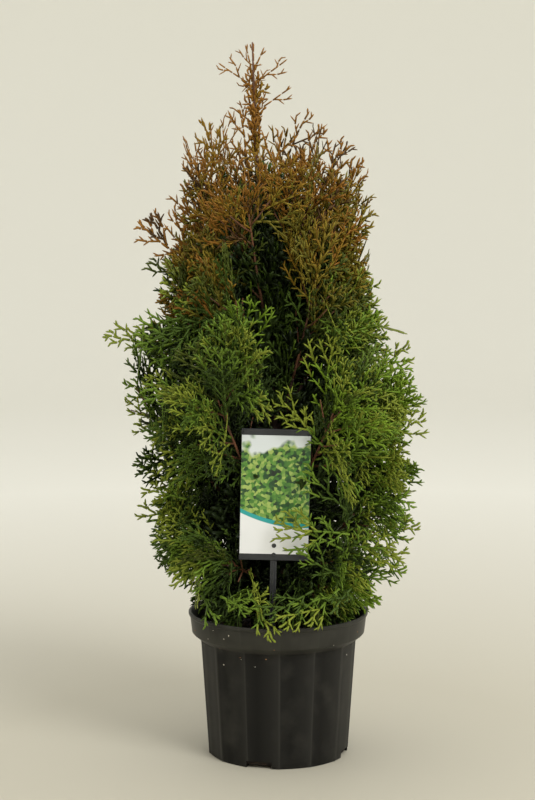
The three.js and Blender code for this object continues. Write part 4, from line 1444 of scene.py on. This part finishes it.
def make_foliage():
    """Every spray, joined by tier and tint, and the twigs, joined by tier."""
    foliage = Foliage()
    grow_inside(foliage)
    for branch in BRANCHES:
        if branch.tier is LEADER:
            grow_leader(foliage, branch)
        else:
            grow_mass(foliage, branch)
    grow_lone_sprays(foliage)
    materials = {tint: patterned_material(f"scale_leaves_{tint}", two_toned(*colours), **LEAF_FINISH)
                 for tint, colours in LEAF_TINTS.items()}
    nodes = defaultdict(list)
    for branch in BRANCHES:
        nodes[branch.tier["name"]].append(f"foliage_{branch.node}")
        nodes["inner"].append(f"foliage_{branch.node}")
    for (tier, tint), parts in sorted(foliage.blades.items()):
        rows = np.vstack(parts)
        if len(rows):
            obj = blade_mesh(f"sprays_{tier}_{tint}", rows)
            slot = "foliage_low" if tier == "inner" else f"foliage_{tier}"
            dress(obj, materials[tint], slot, *nodes[tier])
    bark = patterned_material("reddish_twigs", **FINISHES["reddish_twigs"])
    for tier, twigs in foliage.twigs.items():
        dress(twig_mesh(f"twigs_{tier}", twigs), bark, "bark", *nodes[tier])


def make_limbs():
    """The trunk and the boughs, with their bark."""
    bark = patterned_material("fibrous_bark", **FINISHES["fibrous_bark"])
    bm = bmesh.new()
    foot, top = TRUNK_WAYPOINTS[0][0], TRUNK_WAYPOINTS[-1][0]
    heights = [lerp(foot, top, share) for share in ring_shares(top - foot)]
    bark_limb(bm, [trunk_point(z) for z in heights], [trunk_radius(z) for z in heights], TRUNK_SIDES)
    dress(finished("trunk_bark", bm, smooth=True), bark, "bark", "trunk")
    for tier in TIERS:
        if not tier["bough"]:
            continue
        bm = bmesh.new()
        branches = [branch for branch in BRANCHES if branch.tier is tier]
        thick = min(BOUGH_RADIUS, BOUGH_SHARE * trunk_radius(tier["root"]))
        for branch in branches:
            shares = ring_shares(branch.curve.length() * tier["bough"])
            points = [branch.curve.point(share * tier["bough"]) for share in shares]
            radii = [lerp(thick, STEM_RADII[0], share) * flare(share) for share in shares]
            bark_limb(bm, points, radii, BOUGH_SIDES)
        nodes = [f"bough_{branch.node}" for branch in branches]
        dress(finished(f"boughs_{tier['name']}", bm, smooth=True), bark, "bark", *nodes)


def ring_shares(length):
    """The shares of a limb's length at which its bark has a ring."""
    count = round(length / BARK_STEP)
    return [i / count for i in range(count + 1)]


def flare(share):
    return 1 + BOUGH_FLARE * max(0, 1 - FLARE_SHORTNESS * share)


def panelled(vert):
    """Flattens the pot's outside into shallow panels between low ridges."""
    turn = (math.atan2(vert.co.y, vert.co.x) - FIRST_RIDGE) / (2 * math.pi / PANELS)
    part = turn - math.floor(turn)
    off_ridge = min(part, 1 - part) * 2 * math.pi / PANELS
    sag = PANEL_SAG * math.sin(math.pi * part) ** 2
    ridge = RIDGE_HEIGHT * math.exp(-((off_ridge / RIDGE_WIDTH) ** 2))
    radius = vert.co.to_2d().length
    scale = (radius - sag + ridge) / radius
    vert.co.x *= scale
    vert.co.y *= scale


def wall_radius(z):
    return lerp(POT_BASE_RADIUS, POT_BODY_RADIUS, z / BODY_TOP)


def make_pot():
    """The pot's shell with its panels and drain notches, and the grit on it."""
    bm = bmesh.new()
    foot = [(0, 0), (POT_BASE_RADIUS - 1, 0)]
    lathe(bm, foot + [(wall_radius(z), z) for z in PANEL_HEIGHTS] + POT_BAND + POT_INSIDE, POT_SIDES)
    for vert in bm.verts:
        on_body = 0.5 < vert.co.z < BODY_TOP
        if on_body and vert.co.to_2d().length > wall_radius(vert.co.z) - 0.5:
            panelled(vert)
    shell = finished("nursery_pot", bm, smooth=True)
    bm = bmesh.new()
    size = Matrix.Diagonal((2 * DRAIN_INSET, DRAIN_WIDTH, 2 * DRAIN_HEIGHT, 1))
    shift = Matrix.Translation((POT_BASE_RADIUS, 0, 0))
    for i in range(DRAIN_COUNT):
        turn = Matrix.Rotation(DRAIN_FIRST + i * 2 * math.pi / DRAIN_COUNT, 4, "Z")
        block = bmesh.ops.create_cube(bm, size=1)["verts"]
        bmesh.ops.transform(bm, matrix=turn @ shift @ size, verts=block)
    cutter = finished("drain_cutter", bm)
    notch = shell.modifiers.new("drains", "BOOLEAN")
    notch.object = cutter
    notch.operation = "DIFFERENCE"
    notch.solver = "EXACT"
    with_modifiers_applied(shell)
    bpy.data.objects.remove(cutter)
    shell.data.set_sharp_from_angle(angle=POT_SHARP)
    dress(shell, pot_material(), "pot", "pot")
    make_grit()


def joined_grains(name, slot, places):
    """Many small grains in one piece, each laid by a matrix."""
    dark, light, roughness = CHIPS[name]
    material = patterned_material(name, two_toned(dark, light), Roughness=roughness, **CHIP_FINISH)
    bm = bmesh.new()
    for place in places:
        grain = bmesh.ops.create_icosphere(bm, subdivisions=1, radius=1)["verts"]
        bmesh.ops.transform(bm, matrix=place, verts=grain)
    dress(finished(name, bm), material, slot)


def make_grit():
    """Grains of pale grit and bark that cling to the pot's band and body."""
    draw = seeded(GRIT_SEED)
    surface = np.array([
        (0, POT_BASE_RADIUS), (BODY_TOP, POT_BODY_RADIUS), (BAND_FOOT, BAND_RADIUS),
        (POT_HEIGHT - RIM_LIP - 1, RIM_RADIUS - RIM_LIP / 2),
    ])

    def grit_place():
        z = draw(*GRIT_HEIGHTS)
        radius = draw(*GRIT_RADII)
        size = Matrix.Diagonal((GRIT_FLATNESS, draw(*GRIT_STRETCH), draw(*GRIT_STRETCH), 1))
        turn = Matrix.Rotation(draw(0, 2 * math.pi), 4, "Z")
        shift = Matrix.Translation((float(np.interp(z, *surface.T)), 0, z))
        return turn @ shift @ size @ Matrix.Diagonal((radius, radius, radius, 1))

    for name in ("pale_grit", "tan_grit"):
        joined_grains(name, "pot", [grit_place() for _ in range(GRIT_COUNT)])


def soil_height(x, y):
    share = min(math.hypot(x, y) / BAND_RADIUS, 1)
    rough = noise.fractal(Vector((x, y, 0)) * SOIL_GRAIN, 1.0, 2.0, 4)
    return lerp(SOIL_MIDDLE, SOIL_EDGE, share) + SOIL_ROUGHNESS * rough * min(1, SOIL_FADE * (1 - share))


def make_soil():
    """The bed of soil, a little higher in its middle, with chips of bark and grit on it."""
    gap = POT_WALL + SOIL_GAP
    edge = BAND_RADIUS - gap - SOIL_CLEAR
    floor = POT_FLOOR + SOIL_CLEAR
    shoulder = (POT_BODY_RADIUS - gap, BODY_TOP + SOIL_CLEAR)
    outline = [(0, floor), (POT_BASE_RADIUS - gap, floor), shoulder]
    surface = [(edge * (1 - i / SOIL_RINGS), SOIL_EDGE) for i in range(SOIL_RINGS + 1)]
    bm = bmesh.new()
    lathe(bm, outline + surface, SOIL_SIDES)
    for vert in bm.verts:
        if vert.co.z > SOIL_EDGE - 0.1:
            vert.co.z = soil_height(vert.co.x, vert.co.y)
    soil = patterned_material("peat_soil", **FINISHES["peat_soil"])
    dress(finished("soil_bed", bm, smooth=True), soil, "soil", "soil")
    draw = seeded(CHIP_SEED)

    def chip_place(lengths):
        radius = (edge - CHIP_MARGIN) * math.sqrt(draw(CHIPS_FROM, 1))
        spot = polar(radius, draw(0, 2 * math.pi), 0)
        spot.z = soil_height(spot.x, spot.y) + CHIP_RISE
        long = draw(*lengths)
        size = Matrix.Diagonal((long, long * draw(*CHIP_WIDTHS), long * draw(*CHIP_HEIGHTS), 1))
        tilts = [Matrix.Rotation(draw(-CHIP_TILT, CHIP_TILT), 4, axis) for axis in "XY"]
        spin = Matrix.Rotation(draw(0, 2 * math.pi), 4, "Z")
        return Matrix.Translation(spot) @ spin @ tilts[0] @ tilts[1] @ size

    for name, (count, lengths) in SOIL_GRAINS.items():
        joined_grains(name, "soil", [chip_place(lengths) for _ in range(count)])


def softened_copy(name, node, width):
    """A copy of a solid with soft edges, to stand for it."""
    bm = bmesh.new()
    bm.from_mesh(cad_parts[node].data)
    bmesh.ops.remove_doubles(bm, verts=bm.verts, dist=1e-6)
    bmesh.ops.dissolve_limit(bm, angle_limit=math.radians(1), verts=bm.verts, edges=bm.edges)
    obj = object_from(name, bm)
    bevel = obj.modifiers.new("soft_edges", "BEVEL")
    bevel.width = width * MM
    bevel.segments = BEVEL_SEGMENTS
    bevel.limit_method = "ANGLE"
    bevel.angle_limit = BEVEL_ANGLE
    bevel.use_clamp_overlap = True
    return obj


def make_label():
    plate = softened_copy("label_plate", "label_holder", HOLDER_SOFTNESS)
    slate = patterned_material("slate_holder_plastic", **FINISHES["slate_holder_plastic"])
    dress(plate, slate, "label_holder", "label_holder")
    card = softened_copy("printed_card", "label_card", CARD_SOFTNESS)
    dress(card, card_material(), "label_card", "label_card")


make_pot()
make_soil()
make_label()
make_limbs()
make_foliage()


# Camera, lights and floor

def floor_material():
    """A plain floor that pales to the colour of the wall with its distance from the pot."""
    material, tree, shader = new_material("pale_floor", Roughness=FLOOR_ROUGHNESS)
    distance = add_node(tree, "VectorMath", operation="LENGTH")
    feed(tree, distance.inputs[0], object_place(tree))
    far = ranged(tree, distance.outputs["Value"], FLOOR_FADE)
    feed(tree, shader.inputs["Base Color"], mixed(tree, far, FLOOR_COLOUR, WALL_COLOUR))
    return material


def make_studio():
    camera = placed(bpy.data.objects.new("camera", bpy.data.cameras.new("camera")))
    camera.location = CAMERA_PLACE
    camera.rotation_euler = (math.pi / 2 - CAMERA_PITCH, 0, 0)
    camera.data.lens = CAMERA_LENS
    bpy.context.scene.camera = camera

    bm = bmesh.new()
    bend = [(FLOOR_RADIUS + COVE_RADIUS * math.sin(turn), COVE_RADIUS * (1 - math.cos(turn)))
            for turn in np.linspace(0, math.pi / 2, COVE_STEPS + 1)]
    lathe(bm, [(0, 0), *bend, (FLOOR_RADIUS + COVE_RADIUS, WALL_HEIGHT)], COVE_SIDES)
    floor = shade(object_from("studio_cove", bm), smooth=True)
    floor.data.materials.append(floor_material())

    world = bpy.data.worlds.new("studio")
    world.use_nodes = True
    background = world.node_tree.nodes["Background"]
    background.inputs["Color"].default_value = SKY_COLOUR
    background.inputs["Strength"].default_value = SKY_STRENGTH
    bpy.context.scene.world = world

    for light in LIGHTS:
        lamp = bpy.data.lights.new(light["name"], "AREA")
        lamp.shape = "DISK"
        lamp.size = light["size"]
        lamp.energy = light["power"]
        obj = placed(bpy.data.objects.new(light["name"], lamp))
        obj.visible_camera = False
        obj.location = light["place"]
        obj.rotation_euler = (LIGHT_AIM - Vector(light["place"])).to_track_quat("-Z", "Y").to_euler()
    bpy.context.scene.view_settings.view_transform = "Standard"


make_studio()
